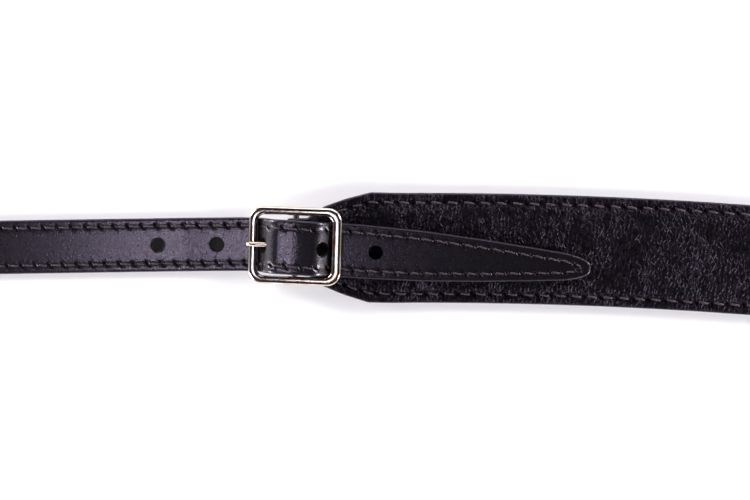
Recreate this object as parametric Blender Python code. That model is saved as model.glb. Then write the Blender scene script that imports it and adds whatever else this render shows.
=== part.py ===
"""Camera neck strap in black leather with nickel buckles.

A shoulder pad of two leather layers runs between two centre-bar buckles.  Each end of the
backing leather is folded round a buckle's centre bar.  A narrow strap with punched holes runs
from each buckle out to a ring, and its tapered tip lies on the pad.

X runs along the strap, Z is up and the strap lies on the plane Z = 0, with the middle of the
pad over the origin.  The right end is the left end turned half a turn about Z.  Sizes are in
metres, written as millimetres times MM.
"""

import math

import bmesh
import bpy
from mathutils import Matrix, Vector

MM = 0.001

# Clearances and how finely bends are cut
GAP = 0.3 * MM
ARCH_GAP = 0.5 * MM
BAR_GAP = 0.4 * MM
BEND_STEP = math.radians(16)
NEAREST_STEPS = 4000

# Shoulder pad
BAR_TO_BAR = 520 * MM
PAD_WIDTH = 31.4 * MM
BACK_THICKNESS = 1.0 * MM
TOP_THICKNESS = 1.2 * MM
PAD_RIM_DROP = 0.9 * MM
PAD_CROWN_SHARE = 0.64
PAD_SETTLE_RUN = 6 * MM
TAPER_END = 21 * MM
FOLD_WIDTH = 15.6 * MM
FOLD_STRAIGHT = 3.2 * MM
FOLD_RETURN = 26 * MM
TOP_START = 7.8 * MM
FOLD_FALL = math.radians(55)
FOLD_RISE = math.radians(40)
FOLD_BEND = 2.5 * MM
EDGE_ROUND = 0.35 * MM

# Line of the pad seen from above: straight middle, long bend, straight end
PAD_TURN = math.radians(4.0)
PAD_TURN_RADIUS = 1250 * MM
PAD_END_RUN = 36 * MM
BUCKLE_YAW = math.radians(-1.7)
BUCKLE_YAW_RUN = 28 * MM

# Buckle
FRAME_LENGTH = 26.6 * MM
FRAME_WIDTH = 22.0 * MM
FRAME_HEIGHT = 2.2 * MM
FRONT_BAR = 2.2 * MM
REAR_BAR = 2.8 * MM
RAIL = 2.35 * MM
CORNER_RADIUS = 3.9 * MM
CENTRE_BAR_RADIUS = 0.95 * MM
PRONG_RADIUS = 0.8 * MM
PRONG_TIP_RADIUS = 0.55 * MM
PRONG_OVERHANG = 0.5 * MM
EYE_WALL = 0.75 * MM
EYE_WIDTH = 2.0 * MM
PRONG_SHIFT = 0.2 * MM
PRONG_KNEE_RADIUS = 12 * MM
PRONG_REST_RADIUS = 6 * MM
FRONT_LIFT = 1.1 * MM

# Narrow strap
STRAP_WIDTH = 15.3 * MM
STRAP_THICKNESS = 2.2 * MM
STRAP_RUN = 250 * MM
TIP_REACH = 84 * MM
TAPER_LENGTH = 65 * MM
LIFT_RUN = 20 * MM
CLIMB = math.radians(62)
FALL = math.radians(45)
DOME_DROP = 0.65 * MM
DOME_RADIUS = 4.5 * MM
CREST_RADIUS = 20 * MM
LIFT_RADIUS = 60 * MM
SPLAY = math.radians(2.6)
SPLAY_PLACE = -9 * MM
SPLAY_EASE = 6 * MM
CREST_STOP_PITCH = 60 * MM
HOLE_RADIUS = 2.1 * MM
HOLE_PITCH = 16.9 * MM
HOLES_BEFORE = 2
HOLES_AFTER = 2

# Outer end of the narrow strap, folded round its ring
TAB_WIDTH = 7.5 * MM
TAB_THICKNESS = 1.2 * MM
TAB_RETURN = 20 * MM
TAB_WIDEN_START = 11 * MM
TAB_WIDEN_END = 22 * MM
SKIVE_RUN = 8 * MM
RING_RADIUS = 8.0 * MM
RING_WIRE = 1.0 * MM
RING_ROOM = 0.6 * MM

# Prong: its knee and its crossing of the strap, as shares of the front bar's place and height
PRONG_KNEE_PLACE = 0.55
PRONG_KNEE_HEIGHT = 0.72
CROSSING_PLACE = 0.7
CROSSING_HEIGHT = 0.85

# Half width of the tapered tip: share of the taper from the tip, share of the strap's half width
TIP_TAPER = (
    (0.000, 0.10),
    (0.010, 0.22),
    (0.035, 0.34),
    (0.070, 0.44),
    (0.120, 0.52),
    (0.280, 0.645),
    (0.530, 0.82),
    (0.785, 0.95),
    (1.000, 1.00),
)
# Pad end: share of the run from the fold to full width, share of the widening
PAD_TAPER = (
    (0.00, 0.00),
    (0.12, 0.22),
    (0.30, 0.48),
    (0.66, 0.78),
    (1.00, 1.00),
)
# Shoulder of the outer tab: share of its widening run, share of the widening
TAB_SHOULDER = (
    (0.00, 0.00),
    (0.20, 0.07),
    (0.50, 0.50),
    (0.80, 0.93),
    (1.00, 1.00),
)

# Heights that follow from what lies on what
FOLD_THICKNESS = BACK_THICKNESS
RETURN_FLOOR = BACK_THICKNESS + GAP
TOP_FLOOR = RETURN_FLOOR + FOLD_THICKNESS + GAP
PAD_HEIGHT = TOP_FLOOR + TOP_THICKNESS
TIP_MIDDLE = PAD_HEIGHT + GAP + STRAP_THICKNESS / 2
FRONT_HEIGHT = FRONT_LIFT + STRAP_THICKNESS + GAP + FRAME_HEIGHT / 2
REAR_HEIGHT = TIP_MIDDLE + STRAP_THICKNESS / 2 + GAP + FRAME_HEIGHT / 2
FRONT_PLACE = -(FRAME_LENGTH - FRONT_BAR) / 2
REAR_PLACE = (FRAME_LENGTH - REAR_BAR) / 2
FRAME_TILT = math.asin((REAR_HEIGHT - FRONT_HEIGHT) / (REAR_PLACE - FRONT_PLACE))
BAR_HEIGHT = FRONT_HEIGHT - FRONT_PLACE * math.sin(FRAME_TILT)
FRONT_X = FRONT_PLACE * math.cos(FRAME_TILT)
REAR_X = REAR_PLACE * math.cos(FRAME_TILT)
BAR_X = BAR_TO_BAR / 2
FOLD_RADIUS = CENTRE_BAR_RADIUS + BAR_GAP + FOLD_THICKNESS / 2
EYE_RADIUS = CENTRE_BAR_RADIUS + GAP / 2 + EYE_WALL
BEND_START = BAR_X - PAD_END_RUN
BEND_END = BEND_START - PAD_TURN_RADIUS * math.sin(PAD_TURN)
BEND_DROP = PAD_TURN_RADIUS * (1 - math.cos(PAD_TURN))
PAD_LEVEL = BEND_END * math.tan(PAD_TURN) + BEND_DROP
BAR_Y = PAD_LEVEL - BUCKLE_YAW_RUN * math.tan(BUCKLE_YAW)
EYE_HOLE = CENTRE_BAR_RADIUS + GAP / 2
SLOT_WIDTH = EYE_WIDTH + 2 * GAP
RING_HEIGHT = TAB_THICKNESS + GAP + RING_WIRE
RING_SAG = RING_RADIUS - math.sqrt(RING_RADIUS**2 - (TAB_WIDTH / 2) ** 2)
TAB_RADIUS = RING_WIRE + GAP + TAB_THICKNESS / 2


def arc(centre, radius, start, end):
    """Points round an arc from one angle to another."""
    count = max(2, math.ceil(abs(end - start) / BEND_STEP))
    angles = [start + (end - start) * step / count for step in range(count + 1)]
    return [centre + radius * Vector((math.cos(a), math.sin(a))) for a in angles]


def rounded_line(corners):
    """Points along straight runs whose corners, rows of x, z and radius, are rounded."""
    points = [Vector(corners[0][:2])]
    for before, corner, after in zip(corners, corners[1:], corners[2:]):
        here = Vector(corner[:2])
        back = (Vector(before[:2]) - here).normalized()
        ahead = (Vector(after[:2]) - here).normalized()
        half_turn = (math.pi - back.angle(ahead)) / 2
        side = 1 if back.cross(ahead) < 0 else -1
        start = here + back * corner[2] * math.tan(half_turn)
        centre = here + (back + ahead).normalized() * corner[2] / math.cos(half_turn)
        spoke = start - centre
        count = max(1, math.ceil(2 * half_turn / BEND_STEP))
        for step in range(count + 1):
            turn = Matrix.Rotation(side * 2 * half_turn * step / count, 2)
            points.append(centre + turn @ spoke)
    points.append(Vector(corners[-1][:2]))
    return points


def read_table(table, share):
    """Value of a two-column table at a share, straight between its rows."""
    for (low, first), (high, last) in zip(table, table[1:]):
        if share <= high:
            return first + (last - first) * max(0.0, share - low) / (high - low)
    return table[-1][1]


class Route:
    """A line in the upright plane along a piece, measured by its length."""

    def __init__(self, points):
        self.points = list(points)
        self.lengths = [0.0]
        for first, last in zip(self.points, self.points[1:]):
            self.lengths.append(self.lengths[-1] + (last - first).length)

    @property
    def total(self):
        """Whole length of the line."""
        return self.lengths[-1]

    def place(self, length):
        """Point and direction at a length along the line."""
        for index in range(len(self.points) - 1):
            if length <= self.lengths[index + 1] or index == len(self.points) - 2:
                run = self.points[index + 1] - self.points[index]
                share = (length - self.lengths[index]) / run.length
                return self.points[index] + run * share, run.normalized()
        return None

    def length_nearest(self, target):
        """Length along the line at its point nearest a target."""
        lengths = [self.total * step / NEAREST_STEPS for step in range(NEAREST_STEPS + 1)]
        return min(lengths, key=lambda length: (self.place(length)[0] - target).length)

    def with_stops(self, stops):
        """The same line with a point of its own at each of the lengths given."""
        spare = 0.05 * MM
        extra = [s for s in stops if 0 < s < self.total]
        extra = [s for s in extra if all(abs(s - known) > spare for known in self.lengths)]
        known = set(self.lengths) | set(extra)
        return Route([self.place(length)[0] for length in sorted(known)])


def skin(bm, loops, closed=False):
    """Faces between rows of points, closed into a ring or capped at both ends."""
    rows = [[bm.verts.new(point) for point in loop] for loop in loops]
    count = len(rows[0])
    last = len(rows) if closed else len(rows) - 1
    for index in range(last):
        here, there = rows[index], rows[(index + 1) % len(rows)]
        for side in range(count):
            after = (side + 1) % count
            bm.faces.new((here[side], here[after], there[after], there[side]))
    if not closed:
        bm.faces.new(reversed(rows[0]))
        bm.faces.new(rows[-1])


def finish_mesh(bm, name):
    """Mesh of one closed body, faces out and shaded smooth between its edges."""
    bmesh.ops.recalc_face_normals(bm, faces=bm.faces)
    mesh = bpy.data.meshes.new(name)
    bm.to_mesh(mesh)
    bm.free()
    mesh.shade_smooth()
    mesh.set_sharp_from_angle(angle=math.radians(35))
    return mesh


def sweep(name, route, plan, outline):
    """Solid of a changing outline carried along a route.

    plan gives the sideways place and slope at an x; outline gives rows of across and up at a
    length along the route and an x.
    """
    bm = bmesh.new()
    loops = []
    for index, point in enumerate(route.points):
        before = route.points[max(index - 1, 0)]
        after = route.points[min(index + 1, len(route.points) - 1)]
        into = (point - before).normalized() if index else (after - point).normalized()
        out = (after - point).normalized() if after != point else into
        along = (into + out).normalized()
        stretch = 1 / max(0.5, along.dot(into))
        sideways, slope = plan(point.x)
        ahead = Vector((1, slope, 0)).normalized()
        across = Vector((-ahead.y, ahead.x, 0))
        up = Vector((-ahead.x * along.y, -ahead.y * along.y, along.x)) * stretch
        centre = Vector((point.x, sideways, point.y))
        rows = outline(route.lengths[index], point.x)
        loops.append([centre + across * aside + up * height for aside, height in rows])
    skin(bm, loops)
    return finish_mesh(bm, name)


def strap_outline(half_width, thickness):
    """Flat leather section with its four edges eased."""
    ease = min(EDGE_ROUND, half_width / 3, thickness / 3)
    half = thickness / 2
    right = [(half_width - ease, -half), (half_width, ease - half)]
    right += [(half_width, half - ease), (half_width - ease, half)]
    left = [(-aside, height) for aside, height in reversed(right)]
    return right + left


def combine(body, tool, operation):
    """Mesh of a body after a tool is cut from it or joined to it."""
    first = bpy.data.objects.new("body", body)
    second = bpy.data.objects.new("tool", tool)
    for piece in (first, second):
        bpy.context.scene.collection.objects.link(piece)
    second.display_type = "WIRE"
    second.hide_render = True
    modifier = first.modifiers.new("combine", "BOOLEAN")
    modifier.operation = operation
    modifier.solver = "EXACT"
    modifier.object = second
    depsgraph = bpy.context.evaluated_depsgraph_get()
    mesh = bpy.data.meshes.new_from_object(first.evaluated_get(depsgraph))
    mesh.name = body.name
    for piece in (first, second):
        bpy.data.objects.remove(piece)
    mesh.shade_smooth()
    mesh.set_sharp_from_angle(angle=math.radians(35))
    return mesh


def cylinder(bm, centre, direction, radius, depth, sides):
    """Round bar about a centre, along a direction."""
    turn = Vector((0, 0, 1)).rotation_difference(direction).to_matrix().to_4x4()
    place = Matrix.Translation(centre) @ turn
    bmesh.ops.create_cone(
        bm,
        cap_ends=True,
        segments=sides,
        radius1=radius,
        radius2=radius,
        depth=depth,
        matrix=place,
    )


def box_mesh(name, low, high):
    """Plain box between two corners."""
    bm = bmesh.new()
    size = Vector(high) - Vector(low)
    middle = (Vector(high) + Vector(low)) / 2
    place = Matrix.Translation(middle) @ Matrix.Diagonal((*size, 1))
    bmesh.ops.create_cube(bm, size=1, matrix=place)
    return finish_mesh(bm, name)


def pad_plan(x):
    """Sideways place and slope of the pad's middle line, the same turned half a turn."""
    side = -1 if x > 0 else 1
    reach = abs(x)
    if reach <= BEND_END:
        aside, slope = reach * math.tan(PAD_TURN), math.tan(PAD_TURN)
    elif reach <= BEND_START:
        short = BEND_START - reach
        rise = math.sqrt(PAD_TURN_RADIUS**2 - short**2)
        aside = PAD_LEVEL - PAD_TURN_RADIUS + rise
        slope = short / rise
    else:
        aside, slope = PAD_LEVEL, 0.0
    from_bar = BAR_X - reach
    if from_bar < BUCKLE_YAW_RUN:
        slope = -math.tan(BUCKLE_YAW)
        aside = PAD_LEVEL + (BUCKLE_YAW_RUN - from_bar) * slope
    return side * aside, -slope


def pad_half_width(x):
    """Half the pad's width at an x, tapered to the fold at both ends."""
    from_bar = BAR_X - abs(x)
    share = (from_bar - FOLD_STRAIGHT) / (TAPER_END - FOLD_STRAIGHT)
    widening = (PAD_WIDTH - FOLD_WIDTH) * read_table(PAD_TAPER, share)
    return (FOLD_WIDTH + widening) / 2


def pad_stops(start):
    """Distances from the pad's middle that need a section of their own."""
    run = TAPER_END - FOLD_STRAIGHT
    stops = [BAR_X - FOLD_STRAIGHT - run * share for share, _ in PAD_TAPER]
    stops += [BEND_END + (BEND_START - BEND_END) * step / 5 for step in range(6)]
    stops += [BAR_X - BUCKLE_YAW_RUN, BAR_X - FOLD_RETURN - GAP]
    return sorted(stop for stop in stops if stop < BAR_X - start)


def make_pad_top():
    """Top leather: flat over the folded ends, crowned and sewn down at the rim between."""
    reach = BAR_X - TOP_START
    thin_from = BAR_X - FOLD_RETURN - GAP
    full_from = thin_from - PAD_SETTLE_RUN
    step = 0.1 * MM
    places = [reach, thin_from + step, full_from] + pad_stops(TOP_START)
    route = [Vector((side * place, 0.0)) for side in (-1, 1) for place in places]
    route.sort(key=lambda point: point.x)

    def outline(_, x):
        half_width = pad_half_width(x)
        floor = TOP_FLOOR if abs(x) > thin_from else RETURN_FLOOR
        share = (thin_from + step - abs(x)) / (thin_from + step - full_from)
        drop = PAD_RIM_DROP * min(1.0, max(0.0, share))
        crown = half_width * PAD_CROWN_SHARE
        shoulder = (crown + half_width) / 2
        rim = half_width - EDGE_ROUND
        right = [(rim, floor), (half_width, floor + EDGE_ROUND)]
        right += [(half_width, PAD_HEIGHT - drop - EDGE_ROUND), (rim, PAD_HEIGHT - drop)]
        right += [(shoulder, PAD_HEIGHT - 0.3 * drop), (crown, PAD_HEIGHT)]
        left = [(-aside, height) for aside, height in reversed(right)]
        return right + left

    return sweep("pad_top", Route(route), pad_plan, outline)


def make_pad_back():
    """Backing leather, folded round the centre bar at both ends and slotted for the prong."""
    centre = Vector((0.0, BAR_HEIGHT))
    upper = math.pi / 2 - FOLD_FALL
    lower = 3 * math.pi / 2 - FOLD_RISE
    round_bar = arc(centre, FOLD_RADIUS, upper, lower)
    inside = RETURN_FLOOR + FOLD_THICKNESS / 2
    outside = BACK_THICKNESS / 2
    start, end = round_bar[0], round_bar[-1]
    upper_corner = start.x + (start.y - inside) / math.tan(FOLD_FALL)
    lower_corner = end.x + (end.y - outside) / math.tan(FOLD_RISE)
    middle = BAR_X
    going = [(FOLD_RETURN, inside, 0), (upper_corner, inside, FOLD_BEND), (*start, 0)]
    coming = [(*end, 0), (lower_corner, outside, FOLD_BEND), (middle, outside, 0)]
    left = rounded_line(going)[:-1] + round_bar + rounded_line(coming)[1:-1]
    flat = [Vector((-place, outside)) for place in reversed(pad_stops(TOP_START))]
    left = [Vector((point.x - BAR_X, point.y)) for point in left] + flat
    right = [Vector((-point.x, point.y)) for point in reversed(left)]
    return_stops = [FOLD_RETURN - TAPER_END, FOLD_RETURN - BUCKLE_YAW_RUN / 2]
    route = Route(left + right)
    mirrored = [route.total - stop for stop in return_stops]
    route = route.with_stops(return_stops + mirrored)

    def outline(_, x):
        return strap_outline(pad_half_width(x), BACK_THICKNESS)

    mesh = sweep("pad_back", route, pad_plan, outline)
    reach = EYE_RADIUS + GAP
    for side in (-1, 1):
        slot = box_mesh(
            "slot",
            (-reach - GAP, PRONG_SHIFT - SLOT_WIDTH / 2, -reach - 2 * GAP),
            (reach + 2 * GAP, PRONG_SHIFT + SLOT_WIDTH / 2, reach + 2 * GAP),
        )
        slot.transform(buckle_place(side))
        mesh = combine(mesh, slot, "DIFFERENCE")
    return mesh


def buckle_place(side):
    """Where a buckle's centre bar sits on the whole strap; side is -1 left and 1 right."""
    turn = BUCKLE_YAW + (math.pi if side > 0 else 0)
    place = Matrix.Translation((side * BAR_X, -side * BAR_Y, 0))
    return place @ Matrix.Rotation(turn, 4, "Z") @ Matrix.Translation((0, 0, BAR_HEIGHT))


def rounded_rectangle(left, right, half_width, radius):
    """Corner-rounded outline in the plane of the buckle."""
    points = []
    corners = ((right, half_width), (left, half_width), (left, -half_width), (right, -half_width))
    for index, (x, y) in enumerate(corners):
        inward = Vector((-1 if x > 0 else 1, -1 if y > 0 else 1)) * radius
        centre = Vector((x, y)) + inward
        for step in range(6):
            angle = math.pi / 2 * (index + step / 5)
            points.append(centre + radius * Vector((math.cos(angle), math.sin(angle))))
    return points


def make_frame():
    """Rounded rectangle of round bars with a centre bar across, in its own flat plane."""
    half_length = FRAME_LENGTH / 2
    outer = rounded_rectangle(-half_length, half_length, FRAME_WIDTH / 2, CORNER_RADIUS)
    inner = rounded_rectangle(
        FRONT_BAR - half_length,
        half_length - REAR_BAR,
        FRAME_WIDTH / 2 - RAIL,
        CORNER_RADIUS - FRONT_BAR,
    )
    bm = bmesh.new()
    loops = []
    for out, into in zip(outer, inner):
        centre = (out + into) / 2
        spoke = (out - into) / 2
        loop = []
        for step in range(10):
            angle = 2 * math.pi * (step + 0.5) / 10
            flat = centre + spoke * math.cos(angle)
            loop.append(Vector((*flat, FRAME_HEIGHT / 2 * math.sin(angle))))
        loops.append(loop)
    skin(bm, loops, closed=True)
    bar = bmesh.new()
    middle = Vector((0, 0, 0))
    cylinder(bar, middle, Vector((0, 1, 0)), CENTRE_BAR_RADIUS, FRAME_WIDTH - RAIL, 12)
    ring = finish_mesh(bm, "buckle_frame")
    return combine(ring, finish_mesh(bar, "bar"), "UNION")


def make_prong():
    """Tapered prong resting on the front bar, with an eye round the centre bar."""
    rest = FRAME_HEIGHT / 2 + GAP + PRONG_RADIUS
    tip = -FRAME_LENGTH / 2 - PRONG_OVERHANG
    knee_place, knee_height = FRONT_PLACE * PRONG_KNEE_PLACE, rest * PRONG_KNEE_HEIGHT
    corners = [(-EYE_HOLE - EYE_WALL / 2, 0, 0), (knee_place, knee_height, PRONG_KNEE_RADIUS)]
    corners += [(FRONT_PLACE, rest, PRONG_REST_RADIUS), (tip, rest - 2 * GAP, 0)]
    route = Route(rounded_line(corners))
    bm = bmesh.new()
    loops = []
    for length, point in zip(route.lengths, route.points):
        share = max(0.0, length / route.total - 0.5) * 2
        radius = PRONG_RADIUS + (PRONG_TIP_RADIUS - PRONG_RADIUS) * share
        loop = []
        for step in range(8):
            angle = 2 * math.pi * (step + 0.5) / 8
            height = point.y + radius * math.sin(angle)
            loop.append(Vector((point.x, radius * math.cos(angle), height)))
        loops.append(loop)
    skin(bm, loops)
    eye = bmesh.new()
    middle = Vector((0, 0, 0))
    across = Vector((0, 1, 0))
    cylinder(eye, middle, across, EYE_RADIUS, EYE_WIDTH, 16)
    hole = bmesh.new()
    cylinder(hole, middle, across, EYE_HOLE, EYE_WIDTH * 2, 16)
    shank = finish_mesh(bm, "prong")
    whole = combine(shank, finish_mesh(eye, "eye"), "UNION")
    mesh = combine(whole, finish_mesh(hole, "hole"), "DIFFERENCE")
    mesh.transform(Matrix.Translation((0, PRONG_SHIFT, 0)))
    return mesh


def strap_plan(x):
    """Sideways place and slope of the narrow strap, measured from the buckle's middle."""
    reach = x - SPLAY_PLACE
    root = math.hypot(reach, SPLAY_EASE)
    lean = math.tan(SPLAY)
    return lean * (2 * SPLAY_EASE / 3 + GAP - root), -lean * reach / root


def strap_route():
    """Line of the strap's mid thickness from its folded tab, over the buckle, to its tip."""
    lie = STRAP_THICKNESS / 2
    tab_lie = TAB_THICKNESS / 2
    apex = -STRAP_RUN
    ring_play = RING_SAG + RING_ROOM
    top = RING_HEIGHT + TAB_RADIUS
    closed_height = TAB_THICKNESS + GAP + tab_lie
    tab = rounded_line([
        (apex + TAB_RETURN, closed_height, 0),
        (apex + ring_play + 2 * TAB_RADIUS, closed_height, 2 * MM),
        (apex + ring_play, top, TAB_RADIUS),
        (apex, top, 0),
    ])[:-1]
    tab += arc(Vector((apex, RING_HEIGHT)), TAB_RADIUS, math.pi / 2, 3 * math.pi / 2)
    thick_start = apex + TAB_WIDEN_END
    front_bend = FRAME_HEIGHT / 2 + GAP + STRAP_THICKNESS / 2
    front_corner = FRONT_X + front_bend * math.tan(CLIMB / 2)
    crest = BAR_HEIGHT + FOLD_RADIUS + FOLD_THICKNESS / 2 + ARCH_GAP + lie
    dome = crest - DOME_DROP
    front_floor = FRONT_HEIGHT - front_bend
    rear_bend = front_bend
    rear_centre = REAR_X - (REAR_BAR - FRAME_HEIGHT) / 2
    rear_corner = rear_centre - rear_bend * math.tan(FALL / 2)
    run = rounded_line([
        (apex, tab_lie, 0),
        (thick_start, tab_lie, 0),
        (thick_start + SKIVE_RUN, lie, 0),
        (FRONT_X - LIFT_RUN, lie, LIFT_RADIUS),
        (front_corner, front_floor, front_bend),
        (front_corner + (dome - front_floor) / math.tan(CLIMB), dome, DOME_RADIUS),
        (0, crest, CREST_RADIUS),
        (rear_corner - (dome - TIP_MIDDLE) / math.tan(FALL), dome, DOME_RADIUS),
        (rear_corner, TIP_MIDDLE, rear_bend),
        (TIP_REACH, TIP_MIDDLE, 0),
    ])
    points = tab + run[1:]
    kept = points[:1]
    for point in points[1:]:
        if (point - kept[-1]).length > 0.02 * MM:
            kept.append(point)
    return Route(kept)


def make_strap():
    """Narrow strap in one piece of leather, with its holes punched."""
    route = strap_route()
    tab_start = route.length_nearest(Vector((-STRAP_RUN, TAB_THICKNESS / 2)))
    shoulder = TAB_WIDEN_END - TAB_WIDEN_START
    stops = [route.total - TAPER_LENGTH * share for share, _ in TIP_TAPER]
    stops += [tab_start + TAB_WIDEN_START + shoulder * share for share, _ in TAB_SHOULDER]
    crest = route.length_nearest(Vector((0, BAR_HEIGHT * 2)))
    stops += [crest - CREST_STOP_PITCH, crest - 2 * CREST_STOP_PITCH]
    swept = route.with_stops(stops)

    def outline(length, _):
        inner = (length - tab_start - TAB_WIDEN_START) / shoulder
        half_width = TAB_WIDTH / 2
        if inner > 0:
            half_width += (STRAP_WIDTH - TAB_WIDTH) / 2 * read_table(TAB_SHOULDER, inner)
        from_tip = (swept.total - length) / TAPER_LENGTH
        half_width *= read_table(TIP_TAPER, from_tip)
        skive = (length - tab_start - TAB_WIDEN_END) / SKIVE_RUN
        thicker = (STRAP_THICKNESS - TAB_THICKNESS) * min(1.0, max(0.0, skive))
        return strap_outline(half_width, TAB_THICKNESS + thicker)

    mesh = sweep("strap", swept, strap_plan, outline)
    rest = FRAME_HEIGHT / 2 + GAP + PRONG_RADIUS
    crossing_rise = FRONT_PLACE * CROSSING_PLACE * math.sin(FRAME_TILT)
    crossing = Vector((FRONT_X * CROSSING_PLACE, BAR_HEIGHT + crossing_rise))
    crossing.y += rest * CROSSING_HEIGHT
    first = route.length_nearest(crossing)
    bm = bmesh.new()
    for count in range(-HOLES_BEFORE, HOLES_AFTER + 1):
        point, along = route.place(first + count * HOLE_PITCH)
        sideways, slope = strap_plan(point.x)
        centre = Vector((point.x, sideways, point.y))
        upright = Vector((-along.y, -along.y * slope, along.x)).normalized()
        cylinder(bm, centre, upright, HOLE_RADIUS, STRAP_THICKNESS * 2, 16)
    return combine(mesh, finish_mesh(bm, "holes"), "DIFFERENCE")


def make_ring():
    """Plain wire ring in its own flat plane."""
    bm = bmesh.new()
    loops = []
    for step in range(24):
        angle = 2 * math.pi * step / 24
        out = Vector((math.cos(angle), math.sin(angle), 0))
        loop = []
        for corner in range(8):
            turn = 2 * math.pi * corner / 8
            loop.append(out * (RING_RADIUS + RING_WIRE * math.cos(turn)))
            loop[-1].z = RING_WIRE * math.sin(turn)
        loops.append(loop)
    skin(bm, loops, closed=True)
    return finish_mesh(bm, "ring")


def make_material(name, colour, roughness, metallic):
    """Principled material of one colour."""
    material = bpy.data.materials.new(name)
    material.use_nodes = True
    shader = material.node_tree.nodes["Principled BSDF"]
    shader.inputs["Base Color"].default_value = (*colour, 1)
    shader.inputs["Roughness"].default_value = roughness
    shader.inputs["Metallic"].default_value = metallic
    return material


def add_piece(name, mesh, material, parent=None, location=(0, 0, 0), rotation=(0, 0, 0)):
    """Named object of a mesh with its material, placed on its parent."""
    piece = bpy.data.objects.new(name, mesh)
    bpy.context.scene.collection.objects.link(piece)
    piece.parent = parent
    piece.location = location
    piece.rotation_euler = rotation
    if not mesh.materials:
        mesh.materials.append(material)
    return piece


def add_end(side, name, meshes, materials):
    """Strap, buckle, prong and ring of one end, on an empty at its buckle."""
    anchor = bpy.data.objects.new("end_" + name, None)
    bpy.context.scene.collection.objects.link(anchor)
    anchor.location = (side * BAR_X, -side * BAR_Y, 0)
    anchor.rotation_euler = (0, 0, BUCKLE_YAW + (math.pi if side > 0 else 0))
    at_bar = {"location": (0, 0, BAR_HEIGHT), "rotation": (0, -FRAME_TILT, 0)}
    nickel = materials["nickel"]
    add_piece("strap_" + name, meshes["strap"], materials["strap"], anchor)
    add_piece("buckle_frame_" + name, meshes["frame"], nickel, anchor, **at_bar)
    add_piece("prong_" + name, meshes["prong"], nickel, anchor, **at_bar)
    centre = -STRAP_RUN - RING_RADIUS + RING_SAG
    sideways, slope = strap_plan(-STRAP_RUN)
    tilt = -math.asin((RING_HEIGHT - RING_WIRE) / (2 * RING_RADIUS))
    middle = (centre, sideways, (RING_HEIGHT + RING_WIRE) / 2)
    turn = (0, tilt, math.atan(slope))
    add_piece("ring_" + name, meshes["ring"], nickel, anchor, middle, turn)


def main():
    """Clear the scene and build the whole strap."""
    for old in list(bpy.data.objects):
        bpy.data.objects.remove(old)
    materials = {
        "strap": make_material("strap_leather", (0.030, 0.026, 0.034), 0.38, 0.0),
        "top": make_material("pad_leather", (0.018, 0.015, 0.020), 0.50, 0.0),
        "back": make_material("backing_leather", (0.022, 0.019, 0.022), 0.70, 0.0),
        "nickel": make_material("nickel_plate", (0.78, 0.75, 0.71), 0.15, 1.0),
    }
    add_piece("pad_top", make_pad_top(), materials["top"])
    add_piece("pad_back", make_pad_back(), materials["back"])
    meshes = {
        "strap": make_strap(),
        "frame": make_frame(),
        "prong": make_prong(),
        "ring": make_ring(),
    }
    for side, name in ((-1, "left"), (1, "right")):
        add_end(side, name, meshes, materials)


main()
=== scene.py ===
"""Looks of a black leather camera neck strap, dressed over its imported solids.

The shoulder pad, the two narrow straps, the buckles and the end rings are modelled finely in
the place of their plain solids, with pressed seams, laced thread, grain and polished nickel.
Lengths are in metres, written as millimetres times MM.
"""

import logging
import math
from dataclasses import dataclass, field
from enum import Enum
from functools import cached_property
from typing import Callable, Iterable, Sequence

import bpy
import numpy as np
from mathutils import Matrix, Vector


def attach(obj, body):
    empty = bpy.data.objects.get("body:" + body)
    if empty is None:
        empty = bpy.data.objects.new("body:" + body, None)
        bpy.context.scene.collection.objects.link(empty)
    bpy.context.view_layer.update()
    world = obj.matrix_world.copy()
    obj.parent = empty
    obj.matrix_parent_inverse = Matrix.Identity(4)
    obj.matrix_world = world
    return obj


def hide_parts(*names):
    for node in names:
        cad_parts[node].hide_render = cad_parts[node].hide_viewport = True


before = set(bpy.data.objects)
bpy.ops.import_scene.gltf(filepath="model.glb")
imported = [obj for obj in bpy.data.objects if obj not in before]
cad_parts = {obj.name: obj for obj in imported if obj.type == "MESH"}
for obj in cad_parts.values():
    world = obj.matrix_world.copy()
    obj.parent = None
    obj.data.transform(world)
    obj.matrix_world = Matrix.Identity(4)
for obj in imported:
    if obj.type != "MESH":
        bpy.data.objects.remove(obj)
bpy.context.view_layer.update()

MM = 0.001
BODY = "root"
LOG = logging.getLogger("neck_strap")
LAMP_TINT = "fcf9ff"
# Threads under the leather are pressed flat this far over the surface it lies on.
THREAD_REST = 0.02 * MM
# No face of a strip comes nearer to its mid thickness than this.
THINNEST = 0.02 * MM
ARC_STEP = math.radians(2)
SAME_POINT = 0.002 * MM
DIRECTION_REACH = 0.15 * MM
NEAREST_STEPS = 20000
# A seam line ends where it comes this near to the middle line.
SEAM_TURN = 0.3 * MM
LEAST_STEP = 0.03 * MM
NO_PICKS = np.array([], dtype=np.int32)
# Where the prong crosses the strap: shares of the way to the front bar and of its height there.
CROSSING_PLACE = 0.7
CROSSING_HEIGHT = 0.85

Point = tuple[float, float, float]
Row = tuple[float, float]
Array = np.ndarray
Mesh = bpy.types.Mesh
Material = bpy.types.Material
Socket = bpy.types.NodeSocket


class Side(Enum):
    """End of the strap: the left one and the same turned half a turn."""

    LEFT = -1
    RIGHT = 1

    @property
    def label(self) -> str:
        """Word used in the names of this end's pieces."""
        return self.name.lower()


class Face(Enum):
    """Face of the leather that a seam's thread lies on."""

    UPPER = 1
    UNDER = -1


class Work(Enum):
    """What one mesh does to another."""

    CUT = "DIFFERENCE"
    JOIN = "UNION"


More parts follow.
